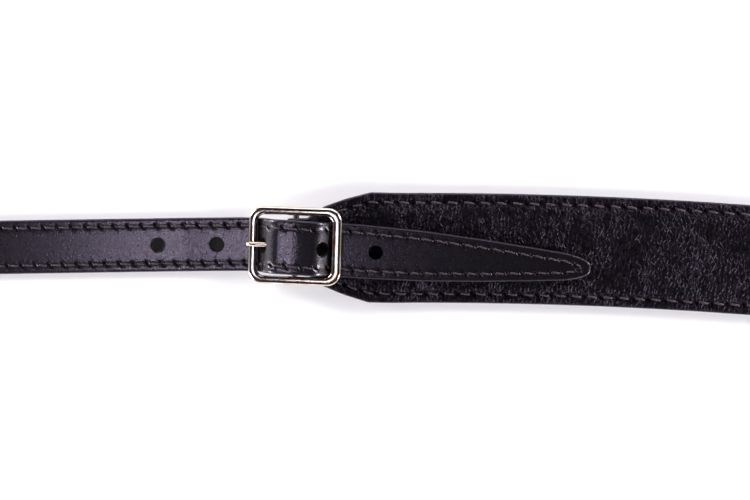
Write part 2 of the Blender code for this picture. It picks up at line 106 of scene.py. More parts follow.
def linear(code: str) -> tuple[float, float, float, float]:
    """Turn an sRGB hex colour into linear red, green, blue and alpha.

    Args:
        code: Six hex digits, such as "2b2630".

    Returns:
        The linear colour with alpha 1.
    """
    parts = [int(code[at : at + 2], 16) / 255 for at in (0, 2, 4)]
    low, knee, gamma = 12.92, 0.04045, 2.4
    values = [p / low if p <= knee else ((p + 0.055) / 1.055) ** gamma for p in parts]
    return (values[0], values[1], values[2], 1.0)


def feed(tree: bpy.types.NodeTree, node: bpy.types.Node, inputs: dict) -> None:
    """Give a node's inputs their values and links.

    Args:
        tree: Node tree of the node.
        node: The node.
        inputs: Values, or output sockets to link from, by input name or number.
    """
    for name, value in inputs.items():
        if isinstance(value, Socket):
            tree.links.new(value, node.inputs[name])
        else:
            node.inputs[name].default_value = value


def add_node(tree: bpy.types.NodeTree, kind: str, settings: dict, inputs: dict) -> bpy.types.Node:
    """Add one node with its settings, values and links.

    Args:
        tree: Node tree of the material.
        kind: Blender's name of the node.
        settings: Properties of the node by name.
        inputs: Values, or output sockets to link from, by input name or number.

    Returns:
        The new node.
    """
    node = tree.nodes.new(kind)
    for name, value in settings.items():
        setattr(node, name, value)
    feed(tree, node, inputs)
    return node


class Shade:
    """Node tree of one material, with short ways to what the finishes share."""

    def __init__(self, name: str) -> None:
        """Start a material with a bare Principled shader.

        Args:
            name: Name of the material.
        """
        self.material = bpy.data.materials.new(name)
        self.material.use_nodes = True
        self.tree = self.material.node_tree

    @cached_property
    def place(self) -> Socket:
        """Place on the object, in metres."""
        return self.add("TexCoord", "Object", {})

    @cached_property
    def press(self) -> Socket:
        """Darkness painted as shade into the stitch slots and seam grooves, from 0 to 1."""
        return self.add("Attribute", "Fac", {}, attribute_name="press")

    def add(self, kind: str, output: str | int, inputs: dict, **settings: str) -> Socket:
        """Add a node, named without Blender's "ShaderNode", and give one of its outputs."""
        return add_node(self.tree, "ShaderNode" + kind, settings, inputs).outputs[output]

    def noise(self, scale: float, output: str = "Fac", **inputs: float | Socket) -> Socket:
        """Noise over the object's place, or over another vector where one is given."""
        return self.add("TexNoise", output, {"Vector": self.place, "Scale": scale} | inputs)

    def spread(self, value: Socket, low: float, high: float, start: float = 0, end: float = 1) -> Socket:
        """Spread a value that runs from start to end over low to high."""
        limits = {"From Min": start, "From Max": end, "To Min": low, "To Max": high}
        return self.add("MapRange", "Result", {"Value": value} | limits)

    def maths(self, operation: str, *values: float | Socket) -> Socket:
        """Result of one sum on values or outputs."""
        return self.add("Math", 0, dict(enumerate(values)), operation=operation)

    def bump(self, height: Socket, distance: float, strength: float | Socket) -> Socket:
        """Surface direction over a height field."""
        inputs = {"Height": height, "Distance": distance, "Strength": strength}
        return self.add("Bump", "Normal", inputs)

    def ramp(self, value: Socket, dark: tuple[float, str], light: tuple[float, str]) -> Socket:
        """Colour that runs between two hex colours.

        Args:
            value: What it follows.
            dark: Value at which the dark colour starts, and the colour.
            light: Value from which the light colour holds, and the colour.

        Returns:
            The colour.
        """
        node = add_node(self.tree, "ShaderNodeValToRGB", {}, {"Fac": value})
        for stop, (position, code) in zip(node.color_ramp.elements, (dark, light)):
            stop.position, stop.color = position, linear(code)
        return node.outputs["Color"]

    def pressed(self, tone: Socket, seam: str) -> Socket:
        """Colour that turns to a painted shade colour in the stitch slots and seam grooves."""
        return self.add("Mix", 2, {0: self.press, 6: tone, 7: linear(seam)}, data_type="RGBA")

    def finish(self, inputs: dict) -> Material:
        """Feed the shader and give the material."""
        feed(self.tree, self.tree.nodes["Principled BSDF"], inputs)
        return self.material


@dataclass(frozen=True)
class SmoothLeather:
    """Finished cowhide, dyed black and rolled smooth: an even, slightly waxy shine.

    Real pores are finer than a pixel of the photo, so they are drawn coarser.
    """

    name: str = "smooth_black_cowhide"
    deep: str = "040305"
    worn: str = "08060a"
    # seam: colour of the painted shade in the stitch slots and seam grooves.
    seam: str = "030203"
    sheen: str = "dcc6ee"
    roughness: Row = (0.21, 0.36)
    coat: float = 0.9
    coat_ior: float = 1.7
    coat_roughness: float = 0.23
    specular: float = 0.5
    seam_specular: float = 0.05
    pore_size: float = 0.40 * MM
    cloud_size: float = 14 * MM
    pore_height: float = 0.054 * MM
    pore_strength: float = 0.55

    def build(self) -> Material:
        """Make the leather's material.

        Returns:
            The material.
        """
        shade = Shade(self.name)
        cloud = shade.noise(1 / self.cloud_size, Detail=5.0, Roughness=0.62)
        speck = shade.noise(0.6 / self.pore_size, Detail=3.0)
        cells = {"Vector": shade.place, "Scale": 1 / self.pore_size, "Smoothness": 0.6}
        pores = shade.add("TexVoronoi", "Distance", cells, feature="SMOOTH_F1")
        bump = shade.bump(shade.maths("ADD", pores, speck), self.pore_height, self.pore_strength)
        tone = shade.ramp(cloud, (0.34, self.deep), (0.70, self.worn))
        inputs = {
            # The stitch slots and grooves take the painted shade colour.
            "Base Color": shade.pressed(tone, self.seam),
            "Roughness": shade.spread(speck, *self.roughness),
            "Normal": bump,
            "Coat Normal": bump,
            "Specular Tint": linear(self.sheen),
            "Specular IOR Level": shade.spread(shade.press, self.specular, self.seam_specular),
            "Coat Weight": shade.spread(shade.press, self.coat, 0.0),
            "Coat IOR": self.coat_ior,
            "Coat Roughness": self.coat_roughness,
        }
        return shade.finish(inputs)


@dataclass(frozen=True)
class GrainedLeather:
    """Soft calf leather, shrunk and milled: creased grain whose ridges catch small glints.

    Real creases are finer than a pixel of the photo, so they are drawn coarser.
    """

    name: str = "milled_black_calfskin"
    # valley: painted shade in the crease lines; ridge: the leather's own tone on the grain between them.
    valley_shade: str = "040304"
    ridge: str = "0b090d"
    # seam: colour of the painted shade in the stitch slots and seam grooves.
    seam: str = "020202"
    sheen: str = "e3cdf5"
    roughness: Row = (0.41, 0.23)
    specular: float = 0.17
    seam_specular: float = 0.03
    ior: float = 1.45
    crease_size: float = 1.2 * MM
    crease_stretch: float = 1.7
    crease_lean: float = math.radians(18)
    crease_edge: float = 0.26
    crease_height: float = 0.30 * MM
    crease_strength: Row = (0.48, 0.70)
    fine_share: float = 0.3
    fold_size: float = 3.0 * MM
    fold_shift: float = 1.6

    def build(self) -> Material:
        """Make the grained leather's material.

        Returns:
            The material.
        """
        shade = Shade(self.name)
        warp = shade.noise(1 / self.fold_size, "Color", Detail=3.0)
        shift = {0: warp, "Scale": self.fold_shift * self.crease_size}
        drift = shade.add("VectorMath", "Vector", shift, operation="SCALE")
        moved = shade.add("VectorMath", "Vector", {0: shade.place, 1: drift}, operation="ADD")
        stretch = (self.crease_stretch, 1.0, 1.0)
        leaning = {"Vector": moved, "Rotation": (0.0, 0.0, self.crease_lean), "Scale": stretch}
        lean = shade.add("Mapping", "Vector", leaning, vector_type="POINT")
        grid = {"Vector": lean, "Scale": 1 / (1.5 * self.crease_size)}
        cells = shade.add("TexVoronoi", "Distance", grid, feature="DISTANCE_TO_EDGE")
        fine = shade.noise(1.1 / self.crease_size, Vector=lean, Detail=2.0)
        plate = shade.spread(cells, 0.0, 1.0, 0.0, self.crease_edge)
        height = shade.maths("MULTIPLY_ADD", fine, self.fine_share, plate)
        patches = shade.noise(0.12 / self.crease_size, Detail=2.0)
        strength = shade.spread(patches, *self.crease_strength, 0.35, 0.65)
        # Crease lines take the valley colour: painted shade where the grain folds down.
        tone = shade.ramp(plate, (0.05, self.valley_shade), (0.75, self.ridge))
        inputs = {
            # The stitch slots and grooves take the painted shade colour.
            "Base Color": shade.pressed(tone, self.seam),
            "Roughness": shade.spread(fine, *self.roughness),
            "Normal": shade.bump(height, self.crease_height, strength),
            "Specular IOR Level": shade.spread(shade.press, self.specular, self.seam_specular),
            "Specular Tint": linear(self.sheen),
            "IOR": self.ior,
        }
        return shade.finish(inputs)


@dataclass(frozen=True)
class SplitLeather:
    """Backing split, sanded on its face: a dry, felted nap with little shine."""

    name: str = "sanded_black_split"
    deep: str = "0c0a0c"
    nap: str = "1c191d"
    roughness: Row = (0.66, 0.9)
    specular: float = 0.2
    nap_size: float = 0.5 * MM
    blotch_size: float = 9 * MM
    nap_height: float = 0.06 * MM
    nap_strength: float = 0.7

    def build(self) -> Material:
        """Make the backing leather's material.

        Returns:
            The material.
        """
        shade = Shade(self.name)
        nap = shade.noise(1 / self.nap_size, Detail=6.0, Roughness=0.7)
        blotch = shade.noise(1 / self.blotch_size, Detail=4.0)
        both = shade.maths("MULTIPLY", nap, blotch)
        inputs = {
            "Base Color": shade.ramp(both, (0.12, self.deep), (0.42, self.nap)),
            "Roughness": shade.spread(blotch, *self.roughness),
            "Normal": shade.bump(nap, self.nap_height, self.nap_strength),
            "Specular IOR Level": self.specular,
        }
        return shade.finish(inputs)


@dataclass(frozen=True)
class EdgePaint:
    """Acrylic edge paint, brushed and burnished: a smooth rounded rim with a soft shine."""

    name: str = "burnished_edge_paint"
    deep: str = "0a080b"
    light: str = "17141a"
    sheen: str = "dcc6ee"
    roughness: Row = (0.30, 0.46)
    ior: float = 1.5
    wave_size: float = 1.6 * MM
    wave_height: float = 0.05 * MM
    wave_strength: float = 0.5

    def build(self) -> Material:
        """Make the edge paint's material.

        Returns:
            The material.
        """
        shade = Shade(self.name)
        wave = shade.noise(1 / self.wave_size, Detail=4.0)
        inputs = {
            "Base Color": shade.ramp(wave, (0.35, self.deep), (0.68, self.light)),
            "Roughness": shade.spread(wave, *self.roughness),
            "Normal": shade.bump(wave, self.wave_height, self.wave_strength),
            "Specular Tint": linear(self.sheen),
            "IOR": self.ior,
        }
        return shade.finish(inputs)


@dataclass(frozen=True)
class WaxedThread:
    """Waxed linen thread, twisted and drawn through: small plum-coloured glints."""

    name: str = "waxed_plum_thread"
    dark: str = "150b11"
    light: str = "42283a"
    roughness: float = 0.42
    ior: float = 1.5
    ply_size: float = 0.35 * MM
    ply_lean: float = math.radians(35)
    ply_spacing: float = 6.28
    ply_height: float = 0.06 * MM
    ply_strength: float = 0.6

    def build(self) -> Material:
        """Make the thread's material.

        Returns:
            The material.
        """
        shade = Shade(self.name)
        leaning = {"Vector": shade.place, "Rotation": (0.0, 0.0, self.ply_lean)}
        bands = {
            "Vector": shade.add("Mapping", "Vector", leaning),
            "Scale": 1 / (self.ply_spacing * self.ply_size),
        }
        ply = shade.add("TexWave", "Fac", bands)
        fuzz = shade.noise(1 / self.ply_size, Detail=4.0)
        inputs = {
            "Base Color": shade.ramp(fuzz, (0.36, self.dark), (0.64, self.light)),
            "Roughness": self.roughness,
            "Normal": shade.bump(ply, self.ply_height, self.ply_strength),
            "IOR": self.ior,
        }
        return shade.finish(inputs)


@dataclass(frozen=True)
class NickelPlate:
    """Nickel plate, tumbled and buffed: warm mirror stripes with faint rubbing marks."""

    name: str = "buffed_nickel_plate"
    bright: str = "dcd6cd"
    warm: str = "b9a894"
    roughness: Row = (0.09, 0.24)
    tarnish_size: float = 6 * MM
    rub_size: float = 0.6 * MM
    rub_height: float = 0.008 * MM
    rub_strength: float = 0.4

    def build(self) -> Material:
        """Make the nickel's material.

        Returns:
            The material.
        """
        shade = Shade(self.name)
        tarnish = shade.noise(1 / self.tarnish_size, Detail=5.0)
        rub = shade.noise(1 / self.rub_size, Detail=4.0)
        inputs = {
            "Base Color": shade.ramp(tarnish, (0.38, self.warm), (0.62, self.bright)),
            "Roughness": shade.spread(rub, *self.roughness),
            "Normal": shade.bump(rub, self.rub_height, self.rub_strength),
            "Metallic": 1.0,
        }
        return shade.finish(inputs)


@dataclass(frozen=True)
class PaperSweep:
    """Matt white paper: a plain pale ground that takes soft shadows."""

    name: str = "matt_white_paper"
    colour: str = "fafafa"
    roughness: float = 0.9
    specular: float = 0.2

    def build(self) -> Material:
        """Make the paper's material.

        Returns:
            The material.
        """
        inputs = {
            "Base Color": linear(self.colour),
            "Roughness": self.roughness,
            "Specular IOR Level": self.specular,
        }
        return Shade(self.name).finish(inputs)


@dataclass
class Finishes:
    """All the finishes of the strap, built once and shared by its pieces."""

    smooth: Material = field(default_factory=lambda: SmoothLeather().build())
    grained: Material = field(default_factory=lambda: GrainedLeather().build())
    split: Material = field(default_factory=lambda: SplitLeather().build())
    edge: Material = field(default_factory=lambda: EdgePaint().build())
    thread: Material = field(default_factory=lambda: WaxedThread().build())
    nickel: Material = field(default_factory=lambda: NickelPlate().build())


Plan = Callable[[Array], tuple[Array, Array]]
Height = Callable[[Array, Array], Array]


def round_angles(count: int) -> Array:
    """Angles evenly round a circle."""
    return np.arange(count) * 2 * math.pi / count


def arc(centre: Row, radius: float, start: float, end: float) -> list[Row]:
    """Points round an arc.

    Args:
        centre: Centre of the arc.
        radius: Its radius.
        start: Angle where it starts.
        end: Angle where it ends.

    Returns:
        The points in order.
    """
    count = max(2, math.ceil(abs(end - start) / ARC_STEP))
    angles = np.linspace(start, end, count + 1)
    xs = centre[0] + radius * np.cos(angles)
    return list(zip(xs, centre[1] + radius * np.sin(angles)))


def rounded_line(corners: Sequence[tuple[float, float, float]]) -> list[Row]:
    """Points along straight runs whose corners are rounded.

    Args:
        corners: Rows of x, z and radius; the first and last radius are not used.

    Returns:
        The points in order.
    """
    points = [tuple(corners[0][:2])]
    for before, corner, after in zip(corners, corners[1:], corners[2:]):
        here = Vector(corner[:2])
        back = (Vector(before[:2]) - here).normalized()
        ahead = (Vector(after[:2]) - here).normalized()
        half_turn = (math.pi - back.angle(ahead)) / 2
        side = 1 if back.cross(ahead) < 0 else -1
        start = here + back * corner[2] * math.tan(half_turn)
        centre = here + (back + ahead).normalized() * corner[2] / math.cos(half_turn)
        spoke = start - centre
        first = math.atan2(spoke.y, spoke.x)
        points += arc(tuple(centre), corner[2], first, first + side * 2 * half_turn)
    points.append(tuple(corners[-1][:2]))
    return points


def smooth_table(table: Sequence[Row], shares: Array) -> Array:
    """Read a table of two columns on a smooth curve through its rows.

    Args:
        table: Rows of share and value, in order.
        shares: Where to read it.

    Returns:
        A value for each share.
    """
    xs, ys = np.array(table).T
    steps = np.diff(ys) / np.diff(xs)
    slopes = np.concatenate(([steps[0]], np.minimum(steps[:-1], steps[1:]), [steps[-1]]))
    at = np.clip(shares, xs[0], xs[-1])
    index = np.clip(np.searchsorted(xs, at, side="right") - 1, 0, len(xs) - 2)
    run = xs[index + 1] - xs[index]
    t = (at - xs[index]) / run
    start = (2 * t**3 - 3 * t**2 + 1) * ys[index] + (t**3 - 2 * t**2 + t) * run * slopes[index]
    return start + (3 * t**2 - 2 * t**3) * ys[index + 1] + (t**3 - t**2) * run * slopes[index + 1]


class Route:
    """A line in the upright plane along a piece, measured by its length."""

    def __init__(self, points: Iterable[Row]) -> None:
        """Keep the points and measure them.

        Args:
            points: Points of x and z in order.
        """
        rows = np.array(list(points), dtype=float)
        gaps = np.hypot(*np.diff(rows, axis=0).T)
        keep = np.concatenate(([True], gaps > SAME_POINT))
        self.points = rows[keep]
        steps = np.hypot(*np.diff(self.points, axis=0).T)
        self.lengths = np.concatenate(([0.0], np.cumsum(steps)))

    @property
    def total(self) -> float:
        """Whole length of the line."""
        return float(self.lengths[-1])

    def at(self, lengths: Array) -> tuple[Array, Array]:
        """Points and directions at lengths along the line.

        Args:
            lengths: Lengths from the start.

        Returns:
            Points of x and z, and unit directions.
        """
        ends = (lengths, lengths - DIRECTION_REACH, lengths + DIRECTION_REACH)
        places, before, after = (
            np.stack([np.interp(at, self.lengths, self.points[:, axis]) for axis in (0, 1)], axis=1)
            for at in ends
        )
        along = after - before
        return places, along / np.linalg.norm(along, axis=1)[:, None]

    def nearest(self, x: float, z: float) -> float:
        """Length along the line at its point nearest a place.

        Args:
            x: Place along the strap.
            z: Height.

        Returns:
            The length.
        """
        lengths = np.linspace(0, self.total, NEAREST_STEPS)
        places, _ = self.at(lengths)
        return float(lengths[np.argmin(np.hypot(places[:, 0] - x, places[:, 1] - z))])


@dataclass
class Leather:
    """A strip of leather laid along a route, addressed by length, aside and height."""

    route: Route
    plan: Plan

    def place(self, length: Array, aside: Array, up: Array) -> Array:
        """Turn places on the strip into points in space.

        Args:
            length: Lengths along the route, a row for each section.
            aside: Distances across, sections by columns.
            up: Distances out of the leather's middle, sections by columns.

        Returns:
            Points, sections by columns by three.
        """
        middle, along = self.route.at(length)
        sideways, slope = self.plan(middle[:, 0])
        size = np.hypot(1, slope)
        ahead_x, ahead_y = 1 / size, slope / size
        across = np.stack([-ahead_y, ahead_x, np.zeros_like(slope)], axis=1)
        upright = np.stack([-ahead_x * along[:, 1], -ahead_y * along[:, 1], along[:, 0]], axis=1)
        centre = np.stack([middle[:, 0], sideways, middle[:, 1]], axis=1)
        spread = across[:, None, :] * aside[:, :, None]
        return centre[:, None, :] + spread + upright[:, None, :] * up[:, :, None]


def ring_faces(index: Array, closed: bool = False) -> list[tuple[int, ...]]:
    """Faces between rings of numbered points.

    Args:
        index: Numbers of the points, rings by points.
        closed: Join the last ring to the first instead of capping both ends.

    Returns:
        The faces.
    """
    here = index if closed else index[:-1]
    there = np.roll(index, -1, axis=0) if closed else index[1:]
    quads = np.stack([here, np.roll(here, -1, axis=1), np.roll(there, -1, axis=1), there], axis=-1)
    caps = [] if closed else [index[0][::-1], index[-1]]
    return [tuple(face.tolist()) for face in (*quads.reshape(-1, 4), *caps)]


def solid_mesh(name: str, points: Array, faces: list[tuple[int, ...]]) -> Mesh:
    """Closed mesh, shaded smooth, with its faces turned outward.

    Args:
        name: Name of the mesh.
        points: Its points, in any grouping that ends in three.
        faces: Its faces.

    Returns:
        The mesh.
    """
    mesh = bpy.data.meshes.new(name)
    mesh.from_pydata(points.reshape(-1, 3).tolist(), [], faces)
    mesh.shade_smooth()
    face_out(mesh)
    return mesh


def grid_mesh(name: str, points: Array, closed: bool = False) -> Mesh:
    """Solid of rings of points, capped or joined end to end."""
    index = np.arange(points.size // 3).reshape(points.shape[:2])
    return solid_mesh(name, points, ring_faces(index, closed))


def face_out(mesh: Mesh) -> None:
    """Turn a closed mesh's faces outward where its volume comes out negative.

    Args:
        mesh: The closed mesh.
    """
    corner = np.empty(len(mesh.vertices) * 3)
    mesh.vertices.foreach_get("co", corner)
    mesh.calc_loop_triangles()
    sides = np.empty(len(mesh.loop_triangles) * 3, dtype=int)
    mesh.loop_triangles.foreach_get("vertices", sides)
    a, b, c = (corner.reshape(-1, 3)[sides[at::3]] for at in range(3))
    if np.einsum("ij,ij->", a, np.cross(b, c)) < 0:
        mesh.flip_normals()


@dataclass
class Seam:
    """A row of lock stitches: where its thread runs on the unrolled leather, and its size."""

    path: Array
    pitch: float
    thread: float
    depth: float = 0.50 * MM
    groove: float = 0.10 * MM
    groove_width: float = 0.55 * MM
    groove_step: float = 0.5 * MM
    # groove_shade and slot_shade: painted shade along the groove and in the stitch slots.
    groove_shade: float = 0.35
    slot_long: float = 0.85 * MM
    slot_short: float = 0.36 * MM
    slot_turn: float = math.radians(-45)
    slot_shade: float = 2.2
    slant: float = 0.34 * MM
    reach: float = 1.5 * MM
    look_ahead: float = 0.3 * MM
    set_in: float = 0.2
    squash: float = 0.8
    thread_sides: int = 8

    def __post_init__(self) -> None:
        """Space the stitches evenly along the path."""
        steps = np.hypot(*np.diff(self.path, axis=0).T)
        lengths = np.concatenate(([0.0], np.cumsum(steps)))
        count = max(1, round(float(lengths[-1]) / self.pitch))
        self.marks = np.linspace(0, lengths[-1], count + 1)
        self.lengths = lengths

    def spot(self, length: float) -> tuple[Array, Array]:
        """Place and direction at a length along the seam.

        Args:
            length: Length from the seam's start.

        Returns:
            The place as length and aside on the leather, and the unit direction.
        """
        ends = np.clip([length - self.look_ahead, length, length + self.look_ahead], 0, self.lengths[-1])
        spots = np.stack([np.interp(ends, self.lengths, self.path[:, at]) for at in (0, 1)], axis=1)
        along = spots[2] - spots[0]
        return spots[1], along / np.linalg.norm(along)

    def hollow(
        self, at: float, turn: float, size: Row, length: Array, aside: Array
    ) -> tuple[slice, Array]:
        """Soft oval hollow at one place of the seam.

        Args:
            at: Length along the seam.
            turn: Turn of the oval from the seam's direction.
            size: Its half sizes, along and across.
            length: Lengths of the sections along the leather.
            aside: Distances across, sections by columns.

        Returns:
            The sections that it touches, and its share of full depth there.
        """
        spot, along = self.spot(at)
        turn += math.atan2(along[1], along[0])
        rows = slice(*np.searchsorted(length, (spot[0] - self.reach, spot[0] + self.reach)))
        off = aside[rows] - spot[1]
        ahead = (length[rows] - spot[0])[:, None]
        u = ahead * math.cos(turn) + off * math.sin(turn)
        v = off * math.cos(turn) - ahead * math.sin(turn)
        return rows, np.exp(-((u / size[0]) ** 2) - (v / size[1]) ** 2)

    def press(self, length: Array, aside: Array) -> tuple[Array, Array]:
        """How deep the seam presses the leather, and the shade painted into its groove and slots.

        Args:
            length: Lengths of the sections along the leather.
            aside: Distances across, sections by columns.

        Returns:
            Depths, and painted shade from 0 to 1, sections by columns.
        """
        depth, dark = np.zeros_like(aside), np.zeros_like(aside)
        trough = (0.0, (self.groove_width, self.groove_width), self.groove, self.groove_shade)
        slot = (self.slot_turn, (self.slot_long, self.slot_short), self.depth, self.slot_shade)
        steps = np.arange(0, self.lengths[-1], self.groove_step)
        for spots, (turn, size, deep, shade) in ((steps, trough), (self.marks, slot)):
            for at in spots:
                rows, share = self.hollow(at, turn, size, length, aside)
                depth[rows] = np.maximum(depth[rows], deep * share)
                # Painted shade in the groove and slots, kept to at most 1.
                dark[rows] = np.maximum(dark[rows], np.minimum(1.0, shade * share))
        return depth, dark

    def tubes(self) -> list[Array]:
        """Thread of each stitch on the unrolled leather.

        Returns:
            For each stitch, sections by sides by three: length, aside and height over the face.
        """
        shares = np.array([0.04, 0.13, 0.25, 0.5, 0.75, 0.87, 0.96])
        lift = np.array([-1.9, -1.0, -0.25, 0.35, -0.25, -1.0, -1.9]) * self.thread
        girth = np.array([0.75, 0.95, 1.0, 1.05, 1.0, 0.95, 0.75]) * self.thread
        sink = self.groove + self.set_in * self.thread
        angles = round_angles(self.thread_sides)
        tubes = []
        for first, last in zip(self.marks, self.marks[1:]):
            rings = []
            for share, height, radius in zip(shares, lift, girth):
                spot, along = self.spot(first + (last - first) * share)
                side = np.array([-along[1], along[0]])
                spot = spot + side * self.slant * (1 - 2 * share)
                flat = spot[None, :] + side[None, :] * (radius * np.cos(angles))[:, None]
                ups = height - sink + radius * self.squash * np.sin(angles)
                rings.append(np.column_stack([flat, ups]))
            tubes.append(np.array(rings))
        return tubes

    def lay(self, strip: Leather, height: Height, face: Face) -> list[Array]:
        """Thread of each stitch, laid on one face of its leather.

        Args:
            strip: The leather.
            height: Height of that face over the mid thickness.
            face: Which face it is.

        Returns:
            For each stitch, sections by sides by three, in space.
        """
        laid = []
        for tube in self.tubes():
            length, aside, over = tube.reshape(-1, 3, 1).transpose(1, 0, 2)
            up = height(length[:, 0], aside) + face.value * over
            spots = strip.place(length[:, 0], aside, up)
            spots[..., 2] = np.maximum(spots[..., 2], THREAD_REST)
            laid.append(spots.reshape(tube.shape))
        return laid


def eased(inset: Array, radius: Array) -> Array:
    """How far an edge of some radius falls below the face at distances in from it."""
    short = np.clip(1 - inset / radius, 0, 1)
    return radius * (1 - np.sqrt(1 - short**2))


@dataclass
class Piece:
    """A finished object and what it stands for."""

    name: str
    mesh: Mesh
    nodes: tuple[str, ...]
    slot: str

    def set_out(self, matrix: Matrix | None = None) -> bpy.types.Object:
        """Args:
            matrix: Where the mesh goes, baked into its points.

        Returns:
            The object.
        """
        if matrix is not None:
            self.mesh.transform(matrix)
        face_out(self.mesh)
        piece = bpy.data.objects.new(self.name, self.mesh)
        bpy.context.scene.collection.objects.link(piece)
        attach(piece, BODY)
        if self.nodes:
            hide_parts(*self.nodes)
        LOG.info("%s: %d faces", self.name, len(self.mesh.polygons))
        return piece


def set_out_end(side: Side, place: Matrix, rows: Sequence[tuple[str, Mesh, str, str]]) -> None:
    """Place copies of the meshes of one end.

    Args:
        side: Which end.
        place: Where their origin goes.
        rows: Name, mesh, CAD node that it stands for if any, and slot, without the end's word.
    """
    for name, mesh, node, slot in rows:
        nodes = (node + side.label,) if node else ()
        Piece(name + side.label, mesh.copy(), nodes, slot).set_out(place)


def paint_faces(mesh: Mesh, finishes: Sequence[Material], picks: Array) -> None:
    """Give a mesh its finishes, and each face one of them.

    Args:
        mesh: The mesh.
        finishes: Materials in slot order.
        picks: Slot number of each face; faces past its end take the last one.
    """
    for finish in finishes:
        mesh.materials.append(finish)
    whole = np.full(len(mesh.polygons), len(finishes) - 1, dtype=np.int32)
    whole[: len(picks)] = picks
    mesh.polygons.foreach_set("material_index", whole)


def add_press_shade(mesh: Mesh, dark: Array) -> None:
    """Keep the painted shade of the stitch slots and grooves, from 0 to 1, on a mesh's points."""
    layer = mesh.attributes.new("press", "FLOAT", "POINT")
    layer.data.foreach_set("value", dark.astype(np.float32).ravel())


def combine(mesh: Mesh, tool: Mesh, work: Work) -> Mesh:
    """Cut a tool out of a mesh, or join it on.

    Args:
        mesh: The body.
        tool: The closed mesh to take away or add.
        work: Which of the two.

    Returns:
        The new mesh.
    """
    body, cutter = (bpy.data.objects.new("work", data) for data in (mesh, tool))
    for part in (body, cutter):
        bpy.context.scene.collection.objects.link(part)
    modifier = body.modifiers.new("work", "BOOLEAN")
    modifier.operation = work.value
    modifier.solver = "EXACT"
    modifier.object = cutter
    depsgraph = bpy.context.evaluated_depsgraph_get()
    result = bpy.data.meshes.new_from_object(body.evaluated_get(depsgraph))
    for part in (body, cutter):
        bpy.data.objects.remove(part)
    return result


def join_tubes(name: str, tubes: Sequence[Array]) -> Mesh:
    """One mesh of many short closed tubes.

    Args:
        name: Name of the mesh.
        tubes: For each tube, sections by sides by three.

    Returns:
        The mesh.
    """
    faces, first = [], 0
    for tube in tubes:
        count = tube.size // 3
        faces += ring_faces(first + np.arange(count).reshape(tube.shape[:2]))
        first += count
    return solid_mesh(name, np.concatenate([tube.reshape(-1, 3) for tube in tubes]), faces)


def stitch_mesh(name: str, tubes: Sequence[Array], finish: Material) -> Mesh:
    """One mesh of many stitches of the same thread.

    Args:
        name: Name of the mesh.
        tubes: For each stitch, sections by sides by three.
        finish: The thread's material.

    Returns:
        The mesh.
    """
    mesh = join_tubes(name, tubes)
    mesh.materials.append(finish)
    return mesh


@dataclass(frozen=True)
class Layout:
    """Places and heights that the pieces share, from what lies on what."""

    bar_x: float = 260 * MM
    bar_y: float = 13.442 * MM
    yaw: float = math.radians(-1.7)
    gap: float = 0.3 * MM
    backing: float = 1.0 * MM
    pad_height: float = 3.8 * MM
    bar_radius: float = 0.95 * MM
    bar_gap: float = 0.4 * MM
    frame_length: float = 26.6 * MM
    frame_height: float = 2.2 * MM
    front_bar: float = 2.2 * MM
    rear_bar: float = 2.8 * MM
    front_height: float = 4.7 * MM
    rear_height: float = 7.7 * MM
    prong_radius: float = 0.8 * MM
    prong_shift: float = 0.2 * MM

    @property
    def front_place(self) -> float:
        """Middle of the front bar in the buckle's own plane."""
        return -(self.frame_length - self.front_bar) / 2

    @property
    def rear_place(self) -> float:
        """Middle of the rear bar in the buckle's own plane."""
        return (self.frame_length - self.rear_bar) / 2

    @property
    def tilt(self) -> float:
        """Lean of the buckle, up toward its rear bar."""
        rise = self.rear_height - self.front_height
        return math.asin(rise / (self.rear_place - self.front_place))

    @property
    def bar_height(self) -> float:
        """Height of the centre bar."""
        return self.front_height - self.front_place * math.sin(self.tilt)

    @property
    def fold_radius(self) -> float:
        """Radius of the backing's mid thickness round the centre bar."""
        return self.bar_radius + self.bar_gap + self.backing / 2

    @property
    def prong_rest(self) -> float:
        """Height of the prong's middle over the frame's plane at the front bar."""
        return self.frame_height / 2 + self.gap + self.prong_radius

    def end(self, side: Side) -> Matrix:
        """Place on the floor under a buckle's centre bar.

        Args:
            side: Which end.

        Returns:
            The place, turned with the end.
        """
        turn = self.yaw + (math.pi if side is Side.RIGHT else 0.0)
        spot = Matrix.Translation((side.value * self.bar_x, -side.value * self.bar_y, 0))
        return spot @ Matrix.Rotation(turn, 4, "Z")

    def bar(self, side: Side) -> Matrix:
        """Place of a buckle's centre bar, leaning with its frame."""
        up = Matrix.Translation((0, 0, self.bar_height))
        return self.end(side) @ up @ Matrix.Rotation(-self.tilt, 4, "Y")


